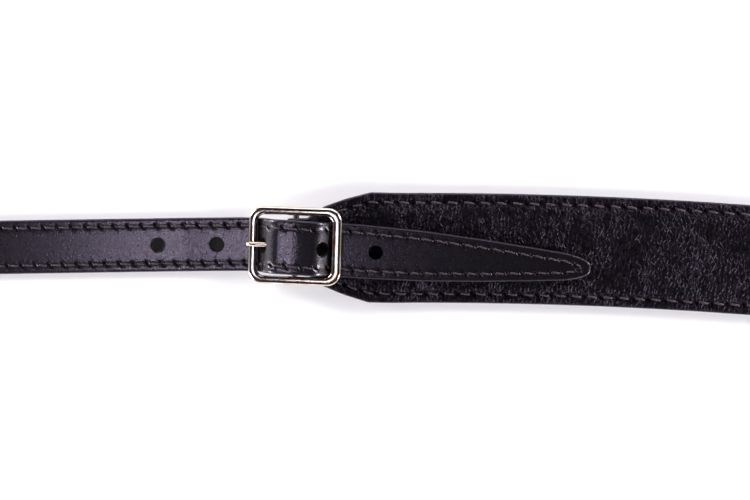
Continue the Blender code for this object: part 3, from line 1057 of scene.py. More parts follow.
@dataclass
class Slab:
    """A closed strip of leather whose columns crowd where its edges and seams are."""

    strip: Leather
    lengths: Array
    half: Array
    spots: Sequence[float]
    middle: int
    upper: Height
    under: Height
    rim: float
    end_round: Row
    crowd: float = 1.25
    rim_part: float = 0.7
    least_half: float = 0.001 * MM

    def aside(self) -> Array:
        """Distances across of one face's columns, from the left edge to the right one.

        Returns:
            Sections by columns.
        """
        squeeze = np.minimum(1.0, self.half / (self.crowd * self.spots[-1]))[:, None]
        block = np.array(self.spots)[None, :] * squeeze
        share = np.arange(1, self.middle + 1)[None, :] / self.middle
        inner = block[:, -1:] + (self.half[:, None] - block[:, -1:]) * share
        near = self.half[:, None] - np.concatenate([block, inner], axis=1)
        return np.concatenate([near, -near[:, -2::-1]], axis=1)

    def ends(self) -> Array:
        """How far each section draws in at the rounded ends.

        Returns:
            A row for each section.
        """
        fall = np.zeros_like(self.lengths)
        for radius, away in zip(self.end_round, (self.lengths, self.lengths[-1] - self.lengths)):
            fall += eased(away, np.full_like(away, radius))
        return fall[:, None]

    def build(
        self,
        name: str,
        upper_seams: Sequence[Seam],
        under_seams: Sequence[Seam],
        finishes: Sequence[Material],
    ) -> Mesh:
        """Make the strip's mesh with its seams pressed in.

        Args:
            name: Name of the mesh.
            upper_seams: Seams on the upper face.
            under_seams: Seams on the under face.
            finishes: Upper, rim and under materials.

        Returns:
            The mesh.
        """
        aside = self.aside()
        half = np.maximum(self.half[:, None], self.least_half)
        fall = eased(self.half[:, None] - np.abs(aside), np.minimum(self.rim, half)) + self.ends()
        sides, painted_shades = [], []
        for sign, height, seams in ((1, self.upper, upper_seams), (-1, self.under, under_seams)):
            depth, dark = np.zeros_like(aside), np.zeros_like(aside)
            for seam in seams:
                pressed, shaded = seam.press(self.lengths, aside)
                depth, dark = np.maximum(depth, pressed), np.maximum(dark, shaded)
            sides.append(height(self.lengths, aside) - sign * (fall + depth))
            painted_shades.append(dark)
        middle = (sides[0] + sides[1]) / 2
        upper = np.maximum(sides[0], middle + THINNEST)
        under = np.minimum(sides[1], middle - THINNEST)
        across = np.concatenate([aside, aside[:, ::-1]], axis=1)
        up = np.concatenate([upper, under[:, ::-1]], axis=1)
        mesh = grid_mesh(name, self.strip.place(self.lengths, across, up))
        # The seams' painted shade is kept on the points for the leather's colour.
        add_press_shade(mesh, np.concatenate([painted_shades[0], painted_shades[1][:, ::-1]], axis=1))
        paint_faces(mesh, finishes, self.picks(aside.shape[1]))
        return mesh

    def picks(self, columns: int) -> Array:
        """Finish of each face: 0 above, 1 on the rims, 2 beneath.

        Args:
            columns: Number of columns of one face.

        Returns:
            Slot numbers, section by section.
        """
        edge = sum(1 for spot in self.spots[1:] if spot < self.rim_part * self.rim)
        ring = np.zeros(2 * columns, dtype=np.int32)
        ring[columns:] = 2
        for start in (0, columns):
            ring[start : start + edge] = 1
            ring[start + columns - 1 - edge : start + columns] = 1
        return np.tile(ring, len(self.lengths) - 1)


def inset_line(lengths: Array, half: Array, inset: float) -> Array:
    """Line that keeps its distance inside one edge of a strip.

    Args:
        lengths: Lengths along the strip.
        half: Half width there.
        inset: Distance from the edge.

    Returns:
        Points of length and aside on the positive side.
    """
    slope = np.gradient(half, lengths)
    size = np.hypot(1, slope)
    line = np.stack([lengths + slope * inset / size, half - inset / size], axis=1)
    return line[line[:, 1] > SEAM_TURN]


def stations(total: float, coarse: float, fine: Sequence[Point]) -> Array:
    """Lengths of the sections of a strip, closer where asked.

    Args:
        total: Length of the strip.
        coarse: Usual step.
        fine: Rows of start, end and step.

    Returns:
        The lengths from 0 to the total.
    """
    places, at = [0.0], 0.0
    while at < total:
        steps = [step for start, end, step in fine if start <= at < end]
        at += min(steps + [coarse])
        places.append(min(at, total))
    if places[-1] - places[-2] < LEAST_STEP:
        places.pop(-2)
    return np.array(places)


@dataclass
class NarrowStrap:
    """Narrow punched strap, folded round its ring, arched over the buckle, tapered to a tip."""

    layout: Layout
    finishes: Finishes
    width: float = 15.3 * MM
    thickness: float = 2.2 * MM
    run: float = 250 * MM
    reach: float = 84 * MM
    taper_run: float = 65 * MM
    lift_run: float = 20 * MM
    climb: float = math.radians(62)
    fall: float = math.radians(45)
    dome_drop: float = 0.65 * MM
    dome_radius: float = 4.5 * MM
    crest_radius: float = 20 * MM
    lift_radius: float = 60 * MM
    arch_gap: float = 0.5 * MM
    splay: float = math.radians(2.6)
    splay_place: float = -9 * MM
    splay_ease: float = 6 * MM
    hole_radius: float = 2.1 * MM
    hole_lip: float = 0.40 * MM
    lip_turn: float = math.radians(52)
    hole_pitch: float = 16.9 * MM
    tab_width: float = 7.5 * MM
    tab_thickness: float = 1.2 * MM
    tab_return: float = 20 * MM
    widen_start: float = 11 * MM
    widen_end: float = 22 * MM
    skive_run: float = 8 * MM
    ring_radius: float = 8.0 * MM
    ring_wire: float = 1.0 * MM
    ring_room: float = 0.6 * MM
    rim: float = 0.62 * MM
    seam_inset: float = 2.3 * MM
    seam_pitch: float = 4.0 * MM
    seam_start: float = 26 * MM
    seam_step: float = 0.2 * MM
    seam_thread: float = 0.27 * MM
    skive_radius: float = 40 * MM
    tab_bend: float = 2 * MM
    tab_seam_box: Point = (2.0 * MM, 11.5 * MM, 2.0 * MM)
    tab_seam_pitch: float = 3.0 * MM
    tab_seam_thread: float = 0.22 * MM
    tab_seam_depth: float = 0.2 * MM
    holes_each_way: int = 2
    hole_sides: int = 40
    lip_steps: int = 6
    step: float = 0.42 * MM
    fine_runs: Point = (4 * MM, 17 * MM, 3 * MM)
    fine_steps: Point = (0.22 * MM, 0.26 * MM, 0.1 * MM)
    middle_columns: int = 4
    end_round: Row = (0.3 * MM, 0.9 * MM)
    sharp: float = math.radians(33)
    tip_taper: tuple[Row, ...] = (
        (0.0, 0.10), (0.010, 0.22), (0.035, 0.34), (0.070, 0.44), (0.120, 0.52), (0.280, 0.645),
        (0.530, 0.82), (0.785, 0.95), (1.0, 1.0),
    )
    shoulder: tuple[Row, ...] = ((0.0, 0.0), (0.20, 0.07), (0.50, 0.50), (0.80, 0.93), (1.0, 1.0))
    spots: tuple[float, ...] = (
        0.0, 0.04, 0.16, 0.36, 0.62, 1.0, 1.4, 1.72, 1.92, 2.06, 2.18, 2.3, 2.42, 2.54, 2.68, 2.88,
        3.2, 3.6,
    )

    def __post_init__(self) -> None:
        """Lay out the strap's line and its seams once, for both ends."""
        self.route = self.make_route()
        self.floor_start = self.route.nearest(-self.run, self.tab_thickness / 2)
        self.total = self.route.total
        self.strip = Leather(self.route, self.plan)
        self.seam = self.make_seam()
        self.tab_seam = self.make_tab_seam()

    @property
    def ring_sag(self) -> float:
        """How far the ring's wire curves away across half the tab's width."""
        return self.ring_radius - math.sqrt(self.ring_radius**2 - (self.tab_width / 2) ** 2)

    @property
    def ring_height(self) -> float:
        """Height of the ring's wire in the fold."""
        return self.tab_thickness + self.layout.gap + self.ring_wire

    def plan(self, x: Array) -> tuple[Array, Array]:
        """Sideways place and slope of the strap, measured from the buckle's middle.

        Args:
            x: Places along the strap.

        Returns:
            Sideways places and slopes.
        """
        reach = x - self.splay_place
        root = np.hypot(reach, self.splay_ease)
        lean = math.tan(self.splay)
        return lean * (2 * self.splay_ease / 3 + self.layout.gap - root), -lean * reach / root

    def make_route(self) -> Route:
        """Line of the mid thickness from the folded tab, over the buckle, to the tip.

        Returns:
            The line.
        """
        lay = self.layout
        lie = self.thickness / 2
        tab_lie = self.tab_thickness / 2
        apex = -self.run
        play = self.ring_sag + self.ring_room
        bend = self.ring_wire + lay.gap + tab_lie
        ring_height = self.ring_height
        closed = self.tab_thickness + lay.gap + tab_lie
        tab = rounded_line(
            [
                (apex + self.tab_return, closed, 0),
                (apex + play + 2 * bend, closed, self.tab_bend),
                (apex + play, ring_height + bend, bend),
                (apex, ring_height + bend, 0),
            ]
        )[:-1]
        tab += arc((apex, ring_height), bend, math.pi / 2, 3 * math.pi / 2)
        turn = lay.frame_height / 2 + lay.gap + lie
        front_x = lay.front_place * math.cos(lay.tilt)
        front_corner = front_x + turn * math.tan(self.climb / 2)
        floor = lay.front_height - turn
        crest = lay.bar_height + lay.fold_radius + lay.backing / 2 + self.arch_gap + lie
        dome = crest - self.dome_drop
        tip = lay.pad_height + lay.gap + lie
        rear_x = lay.rear_place * math.cos(lay.tilt) - (lay.rear_bar - lay.frame_height) / 2
        rear_corner = rear_x - turn * math.tan(self.fall / 2)
        thick = apex + self.widen_end
        run = rounded_line(
            [
                (apex, tab_lie, 0),
                (thick, tab_lie, self.skive_radius),
                (thick + self.skive_run, lie, self.skive_radius),
                (front_x - self.lift_run, lie, self.lift_radius),
                (front_corner, floor, turn),
                (front_corner + (dome - floor) / math.tan(self.climb), dome, self.dome_radius),
                (0, crest, self.crest_radius),
                (rear_corner - (dome - tip) / math.tan(self.fall), dome, self.dome_radius),
                (rear_corner, tip, turn),
                (self.reach, tip, 0),
            ]
        )
        return Route(tab + run[1:])

    def half_width(self, length: Array) -> Array:
        """Half the strap's width at lengths along it.

        Args:
            length: Lengths along the strap.

        Returns:
            Half widths.
        """
        share = (length - self.floor_start - self.widen_start) / (self.widen_end - self.widen_start)
        wide = smooth_table(self.shoulder, share)
        half = self.tab_width / 2 + (self.width - self.tab_width) / 2 * wide
        return half * smooth_table(self.tip_taper, (self.total - length) / self.taper_run)

    def half_thickness(self, length: Array) -> Array:
        """Half the strap's thickness at lengths along it.

        Args:
            length: Lengths along the strap.

        Returns:
            Half thicknesses.
        """
        share = np.clip((length - self.floor_start - self.widen_end) / self.skive_run, 0, 1)
        eases = share * share * (3 - 2 * share)
        return (self.tab_thickness + (self.thickness - self.tab_thickness) * eases) / 2

    def face(self, length: Array, aside: Array) -> Array:
        """Height of the upper face over the mid thickness."""
        return self.half_thickness(length)[:, None] + np.zeros_like(aside)

    def under_face(self, length: Array, aside: Array) -> Array:
        """Height of the under face, the upper one mirrored."""
        return -self.face(length, aside)

    def make_seam(self) -> Seam:
        """Seam along both edges, joined round the tip and across the outer end.

        Returns:
            The seam.
        """
        lengths = np.arange(self.floor_start + self.seam_start, self.total, self.seam_step)
        line = inset_line(lengths, self.half_width(lengths), self.seam_inset)
        line = line[line[:, 0] < self.total - self.seam_inset]
        back = line[::-1] * np.array([1, -1])
        return Seam(np.concatenate([line, back, line[:1]]), self.seam_pitch, self.seam_thread)

    def make_tab_seam(self) -> Seam:
        """Seam that holds the folded tab's return down.

        Returns:
            The seam.
        """
        near, far, aside = self.tab_seam_box
        loop = [(near, -aside), (far, -aside), (far, aside), (near, aside), (near, -aside)]
        corners = np.array(loop)
        path = [corners[0]]
        for first, last in zip(corners, corners[1:]):
            path += [first + (last - first) * share for share in np.linspace(0.1, 1, 10)]
        thread, depth = self.tab_seam_thread, self.tab_seam_depth
        return Seam(np.array(path), self.tab_seam_pitch, thread, depth=depth)

    def holes(self) -> Mesh:
        """Punches for the row of holes, flared at both faces for a softened lip.

        Returns:
            The punches' mesh.
        """
        lay = self.layout
        ahead = lay.front_place * CROSSING_PLACE
        height = lay.bar_height + ahead * math.sin(lay.tilt) + lay.prong_rest * CROSSING_HEIGHT
        first = self.route.nearest(ahead * math.cos(lay.tilt), height)
        half, lip = self.thickness / 2, self.hole_lip
        turns = np.linspace(0, self.lip_turn, self.lip_steps)
        levels = list(half + lip * (np.sin(turns) - math.sin(self.lip_turn)))
        levels.append(half + lip * math.cos(self.lip_turn))
        radii = list(self.hole_radius + lip * (1 - np.cos(turns)))
        radii.append(radii[-1] + lip * math.sin(self.lip_turn))
        upper = list(zip(levels, radii))
        profile = [(-level, radius) for level, radius in reversed(upper)] + upper
        angles = round_angles(self.hole_sides)
        meshes = []
        for count in range(-self.holes_each_way, self.holes_each_way + 1):
            middle, along = self.route.at(np.array([first + count * self.hole_pitch]))
            sideways, slope = self.plan(middle[:, 0])
            up = Vector((-along[0, 1], -along[0, 1] * slope[0], along[0, 0])).normalized()
            turn = Vector((0, 0, 1)).rotation_difference(up).to_matrix()
            rings = []
            for level, radius in profile:
                xs, ys = radius * np.cos(angles), radius * np.sin(angles)
                ring = np.stack([xs, ys, np.full_like(xs, level)], axis=1)
                rings.append(ring @ np.array(turn).T + (middle[0, 0], sideways[0], middle[0, 1]))
            meshes.append(np.array(rings))
        return join_tubes("punches", meshes)

    def build(self) -> Mesh:
        """Make the strap's mesh at its end's own origin.

        Returns:
            The mesh.
        """
        buckle = self.route.nearest(0, self.layout.bar_height * 2)
        tab, arch, tip = self.fine_runs
        bounds = (
            (0, self.floor_start + tab),
            (buckle - arch, buckle + arch),
            (self.total - tip, self.total),
        )
        fine = [(*ends, step) for ends, step in zip(bounds, self.fine_steps)]
        lengths = stations(self.total, self.step, fine)
        slab = Slab(
            self.strip,
            lengths,
            self.half_width(lengths),
            tuple(spot * MM for spot in self.spots),
            self.middle_columns,
            self.face,
            self.under_face,
            min(self.rim, self.tab_thickness / 2),
            self.end_round,
        )
        look = self.finishes
        looks = (look.smooth, look.edge, look.smooth, look.split)
        mesh = slab.build("strap", [self.seam], [self.seam, self.tab_seam], looks)
        punches = self.holes()
        paint_faces(punches, looks, NO_PICKS)
        punched = combine(mesh, punches, Work.CUT)
        punched.set_sharp_from_angle(angle=self.sharp)
        return punched

    def thread_mesh(self) -> Mesh:
        """Threads of both faces, and of the tab's fold.

        Returns:
            The mesh.
        """
        tubes = self.seam.lay(self.strip, self.face, Face.UPPER)
        for seam in (self.seam, self.tab_seam):
            tubes += seam.lay(self.strip, self.under_face, Face.UNDER)
        return stitch_mesh("strap_seam", tubes, self.finishes.thread)


@dataclass
class ShoulderPad:
    """Padded shoulder piece: grained top leather over a backing folded round both bars."""

    layout: Layout
    finishes: Finishes
    width: float = 31.4 * MM
    fold_width: float = 15.6 * MM
    fold_straight: float = 3.2 * MM
    taper_end: float = 21 * MM
    top_start: float = 7.8 * MM
    top_floor: float = 2.6 * MM
    low_floor: float = 1.06 * MM
    return_height: float = 1.8 * MM
    fold_return: float = 26 * MM
    fold_fall: float = math.radians(55)
    fold_rise: float = math.radians(40)
    fold_bend: float = 2.5 * MM
    settle_run: float = 6 * MM
    crown_share: float = 0.60
    rim_drop: float = 0.9 * MM
    turn: float = math.radians(4.0)
    turn_radius: float = 1250 * MM
    end_run: float = 36 * MM
    yaw_run: float = 28 * MM
    plan_ease: float = 5 * MM
    top_rim: float = 0.55 * MM
    back_rim: float = 0.35 * MM
    seam_inset: float = 2.7 * MM
    seam_pitch: float = 4.6 * MM
    quilt: float = 0.16 * MM
    quilt_width: float = 1.5 * MM
    slack: float = 0.09 * MM
    slot_width: float = 2.6 * MM
    eye_radius: float = 1.85 * MM
    slot_room: Row = (0.3 * MM, 0.6 * MM)
    plan_step: float = 0.25 * MM
    plan_run: float = 6 * MM
    seam_step: float = 0.4 * MM
    seam_fill: float = 0.5 * MM
    floor_run: float = 1.5 * MM
    crown_power: float = 1.7
    sway_sizes: tuple[float, ...] = (5.3 * MM, 6.1 * MM, 3.7 * MM, 9.7 * MM)
    sway_bends: Row = (2.1, 1.7)
    end_slack: float = 0.3
    top_step: float = 0.58 * MM
    top_end: Row = (1 * MM, 0.12 * MM)
    top_columns: int = 6
    back_step: float = 0.55 * MM
    back_fine: Point = (18 * MM, 12 * MM, 0.25 * MM)
    back_columns: int = 5
    taper: tuple[Row, ...] = ((0.0, 0.0), (0.12, 0.22), (0.30, 0.48), (0.66, 0.78), (1.0, 1.0))
    spots: tuple[float, ...] = (
        0.0, 0.04, 0.14, 0.32, 0.55, 0.9, 1.3, 1.7, 2.0, 2.22, 2.4, 2.55, 2.7, 2.85, 3.0, 3.18, 3.4,
        3.7, 4.1, 4.7, 5.4,
    )
    back_spots: tuple[float, ...] = (
        0.0, 0.05, 0.18, 0.35, 0.9, 1.5, 2.0, 2.3, 2.5, 2.65, 2.8, 2.95, 3.2, 3.6, 4.2,
    )

    def __post_init__(self) -> None:
        """Work out the pad's bending line, seam and leather strips."""
        self.xs, self.asides, self.slopes = self.make_plan()
        self.top_reach = self.layout.bar_x - self.top_start
        self.top_route = Route([(-self.top_reach, 0.0), (self.top_reach, 0.0)])
        self.back_route = self.make_back_route()
        self.top_strip = Leather(self.top_route, self.plan)
        self.back_strip = Leather(self.back_route, self.plan)
        self.top_seam = self.make_seam(self.top_reach)
        self.back_seam = self.make_seam(self.back_route.total / 2)

    def make_plan(self) -> tuple[Array, Array, Array]:
        """Line of the pad seen from above: straight, a long bend, and straight to the buckle.

        Returns:
            Distances from the middle, sideways places there, and slopes.
        """
        step = self.plan_step
        reach = np.arange(0, self.layout.bar_x + self.plan_run, step)
        bend_start = self.layout.bar_x - self.end_run
        short = np.clip(bend_start - reach, 0, self.turn_radius * math.sin(self.turn))
        slope = short / np.sqrt(self.turn_radius**2 - short**2)
        slope[reach > self.layout.bar_x - self.yaw_run] = -math.tan(self.layout.yaw)
        span = int(self.plan_ease / step)
        padded = np.concatenate([slope[:1].repeat(span), slope, slope[-1:].repeat(span)])
        even = np.convolve(padded, np.ones(2 * span + 1) / (2 * span + 1), "valid")
        aside = np.concatenate(([0.0], np.cumsum((even[1:] + even[:-1]) / 2 * step)))
        level = self.layout.bar_y + self.yaw_run * math.tan(self.layout.yaw)
        error = level - np.interp(self.layout.bar_x - self.yaw_run, reach, aside)
        return reach, aside + error * reach / (self.layout.bar_x - self.yaw_run), even

    def plan(self, x: Array) -> tuple[Array, Array]:
        """Sideways place and slope of the pad's middle line.

        Args:
            x: Places along the pad.

        Returns:
            Sideways places and slopes.
        """
        reach = np.abs(x)
        sign = np.where(x > 0, -1.0, 1.0)
        aside = sign * np.interp(reach, self.xs, self.asides)
        return aside, -np.interp(reach, self.xs, self.slopes)

    def half_width(self, x: Array) -> Array:
        """Half the pad's width at places along it.

        Args:
            x: Places along the pad.

        Returns:
            Half widths.
        """
        from_bar = self.layout.bar_x - np.abs(x)
        share = (from_bar - self.fold_straight) / (self.taper_end - self.fold_straight)
        wide = smooth_table(self.taper, share)
        return (self.fold_width + (self.width - self.fold_width) * wide) / 2

    def make_back_route(self) -> Route:
        """Line of the backing: its return, round the bar, along the floor, and the same again.

        Returns:
            The line.
        """
        lay = self.layout
        upper = math.pi / 2 - self.fold_fall
        lower = 3 * math.pi / 2 - self.fold_rise
        loop = arc((0.0, lay.bar_height), lay.fold_radius, upper, lower)
        start, end = loop[0], loop[-1]
        floor = lay.backing / 2
        above = start[0] + (start[1] - self.return_height) / math.tan(self.fold_fall)
        beneath = end[0] + (end[1] - floor) / math.tan(self.fold_rise)
        inside = self.return_height
        going = [(self.fold_return, inside, 0), (above, inside, self.fold_bend), (*start, 0)]
        coming = [(*end, 0), (beneath, floor, self.fold_bend), (lay.bar_x, floor, 0)]
        points = rounded_line(going)[:-1] + loop + rounded_line(coming)[1:-1]
        left = [(x - lay.bar_x, z) for x, z in points]
        return Route(left + [(-x, z) for x, z in reversed(left)])

    def make_seam(self, middle: float) -> Seam:
        """Seam all round the top leather, near its edge.

        Args:
            middle: Length at which the leather crosses the pad's middle.

        Returns:
            The seam, in lengths along that leather.
        """
        reach = self.top_reach - self.seam_inset
        xs = np.arange(-self.top_reach, self.top_reach, self.seam_step)
        line = inset_line(xs, self.half_width(xs), self.seam_inset)
        line = line[np.abs(line[:, 0]) < reach]
        path = np.concatenate([line, line[::-1] * np.array([1, -1]), line[:1]])
        filled = [path[:1]]
        for first, last in zip(path, path[1:]):
            count = max(1, math.ceil(float(np.hypot(*(last - first))) / self.seam_fill))
            filled.append(first + (last - first) * np.arange(1, count + 1)[:, None] / count)
        whole = np.concatenate(filled) + np.array([middle, 0.0])
        return Seam(
            whole,
            self.seam_pitch,
            thread=0.32 * MM,
            depth=0.55 * MM,
            groove=0.16 * MM,
            groove_width=0.8 * MM,
            slot_long=0.95 * MM,
            slot_short=0.42 * MM,
        )

    def crown(self, length: Array, aside: Array) -> Array:
        """Height of the padded upper face: full in the middle, pulled down at the seam.

        Args:
            length: Lengths along the top leather.
            aside: Distances across, sections by columns.

        Returns:
            Heights, sections by columns.
        """
        x = (length - self.top_reach)[:, None]
        half = self.half_width(x)
        share = self.inward(x, self.settle_run)
        drop = self.rim_drop * share * share * (3 - 2 * share)
        outward = np.clip((np.abs(aside) / half - self.crown_share) / (1 - self.crown_share), 0, 1)
        pulled = np.abs(half - self.seam_inset - np.abs(aside))
        quilt = self.quilt * np.exp(-((pulled / self.quilt_width) ** 2))
        sizes, bends = self.sway_sizes, self.sway_bends
        sway = np.sin(x / sizes[0] + bends[0] * np.sin(aside / sizes[1]))
        sway = sway * np.sin(aside / sizes[2] + bends[1] * np.sin(x / sizes[3]))
        soft = self.slack * sway * np.clip(1 - (np.abs(aside) / half) ** 4, 0, 1)
        soft = soft * (self.end_slack + (1 - self.end_slack) * share)
        return self.layout.pad_height - drop * outward**self.crown_power - quilt + soft

    def inward(self, x: Array, run: float) -> Array:
        """Share from 0 over the folded ends to 1 a run further in."""
        fold = self.layout.bar_x - self.fold_return - self.layout.gap
        return np.clip((fold - np.abs(x)) / run, 0, 1)

    def floor(self, length: Array, aside: Array) -> Array:
        """Height of the top leather's under face, raised over the folded ends.

        Args:
            length: Lengths along the top leather.
            aside: Distances across, sections by columns.

        Returns:
            Heights, sections by columns.
        """
        share = self.inward(length - self.top_reach, self.floor_run)[:, None]
        level = self.top_floor + (self.low_floor - self.top_floor) * share
        return level + np.zeros_like(aside)

    def back_face(self, length: Array, aside: Array) -> Array:
        """Height of the backing's inner face over its mid thickness."""
        return np.full_like(aside, self.layout.backing / 2)

    def back_under(self, length: Array, aside: Array) -> Array:
        """Height of the backing's outer face under its mid thickness."""
        return np.full_like(aside, -self.layout.backing / 2)

    def build_top(self) -> Mesh:
        """Make the padded top leather.

        Returns:
            The mesh.
        """
        total = self.top_route.total
        run, step = self.top_end
        lengths = stations(total, self.top_step, [(0, run, step), (total - run, total, step)])
        look = self.finishes
        slab = Slab(
            self.top_strip,
            lengths,
            self.half_width(lengths - self.top_reach),
            tuple(spot * MM for spot in self.spots),
            self.top_columns,
            self.crown,
            self.floor,
            self.top_rim,
            (self.top_rim, self.top_rim),
        )
        return slab.build("pad", [self.top_seam], [], (look.grained, look.edge, look.split))

    def build_back(self) -> Mesh:
        """Make the backing with its folds and the slots for the prongs.

        Returns:
            The mesh.
        """
        total = self.back_route.total
        start, past, step = self.back_fine
        end = self.fold_return + past
        fine = [(start, end, step), (total - end, total - start, step)]
        lengths = stations(total, self.back_step, fine)
        places, _ = self.back_route.at(lengths)
        look = self.finishes
        slab = Slab(
            self.back_strip,
            lengths,
            self.half_width(places[:, 0]),
            tuple(spot * MM for spot in self.back_spots),
            self.back_columns,
            self.back_face,
            self.back_under,
            self.back_rim,
            (self.back_rim, self.back_rim),
        )
        mesh = slab.build("backing", [], [self.back_seam], (look.split, look.edge, look.split))
        reach = self.eye_radius + self.layout.gap
        near, far = self.slot_room
        half = self.slot_width / 2
        shift = self.layout.prong_shift
        low = Vector((-reach - near, shift - half, -reach - far))
        high = Vector((reach + far, shift + half, reach + far))
        up = Matrix.Translation((0, 0, self.layout.bar_height))
        for side in Side:
            slot = box_mesh("slot", low, high)
            slot.transform(self.layout.end(side) @ up)
            paint_faces(slot, tuple(mesh.materials), NO_PICKS)
            mesh = combine(mesh, slot, Work.CUT)
        return mesh

    def threads(self) -> Mesh:
        """Threads of the pad's seam on both faces.

        Returns:
            The mesh.
        """
        tubes = self.top_seam.lay(self.top_strip, self.crown, Face.UPPER)
        tubes += self.back_seam.lay(self.back_strip, self.back_under, Face.UNDER)
        return stitch_mesh("pad_thread", tubes, self.finishes.thread)

    def set_out(self) -> None:
        """Build and place the pad's pieces."""
        top = Piece("shoulder_pad", self.build_top(), ("pad_top",), "pad_leather").set_out()
        Piece("pad_backing", self.build_back(), ("pad_back",), "backing_leather").set_out()
        Piece("pad_thread", self.threads(), (), "pad_leather").set_out()


def box_mesh(name: str, low: Vector, high: Vector) -> Mesh:
    """Plain closed box between two corners.

    Args:
        name: Name of the mesh.
        low: Lowest corner.
        high: Highest corner.

    Returns:
        The mesh.
    """
    ring = [(low.x, low.y), (high.x, low.y), (high.x, high.y), (low.x, high.y)]
    points = np.array([[(x, y, z) for x, y in ring] for z in (low.z, high.z)])
    return grid_mesh(name, points)


def tube_mesh(name: str, centres: Array, radii: Array, sides: int) -> Mesh:
    """Round bar along a line in the X-Z plane, capped at both ends.

    Args:
        name: Name of the mesh.
        centres: Points of x and z.
        radii: Radius at each point.
        sides: Number of sides.

    Returns:
        The mesh.
    """
    along = np.gradient(centres, axis=0)
    along = along / np.linalg.norm(along, axis=1)[:, None]
    angles = round_angles(sides)
    rows = []
    for (x, z), (ahead, rise), radius in zip(centres, along, radii):
        up = radius * np.sin(angles)
        rows.append(np.stack([x - rise * up, radius * np.cos(angles), z + ahead * up], axis=1))
    return grid_mesh(name, np.array(rows))


def lathe_mesh(name: str, profile: Sequence[Row], sides: int) -> Mesh:
    """Closed profile of radius and width turned round the Y axis.

    Args:
        name: Name of the mesh.
        profile: Rows of radius and place along Y, closed.
        sides: Number of sections round.

    Returns:
        The mesh.
    """
    angles = round_angles(sides)
    rows = [[(r * math.cos(a), y, r * math.sin(a)) for r, y in profile] for a in angles]
    return grid_mesh(name, np.array(rows), closed=True)


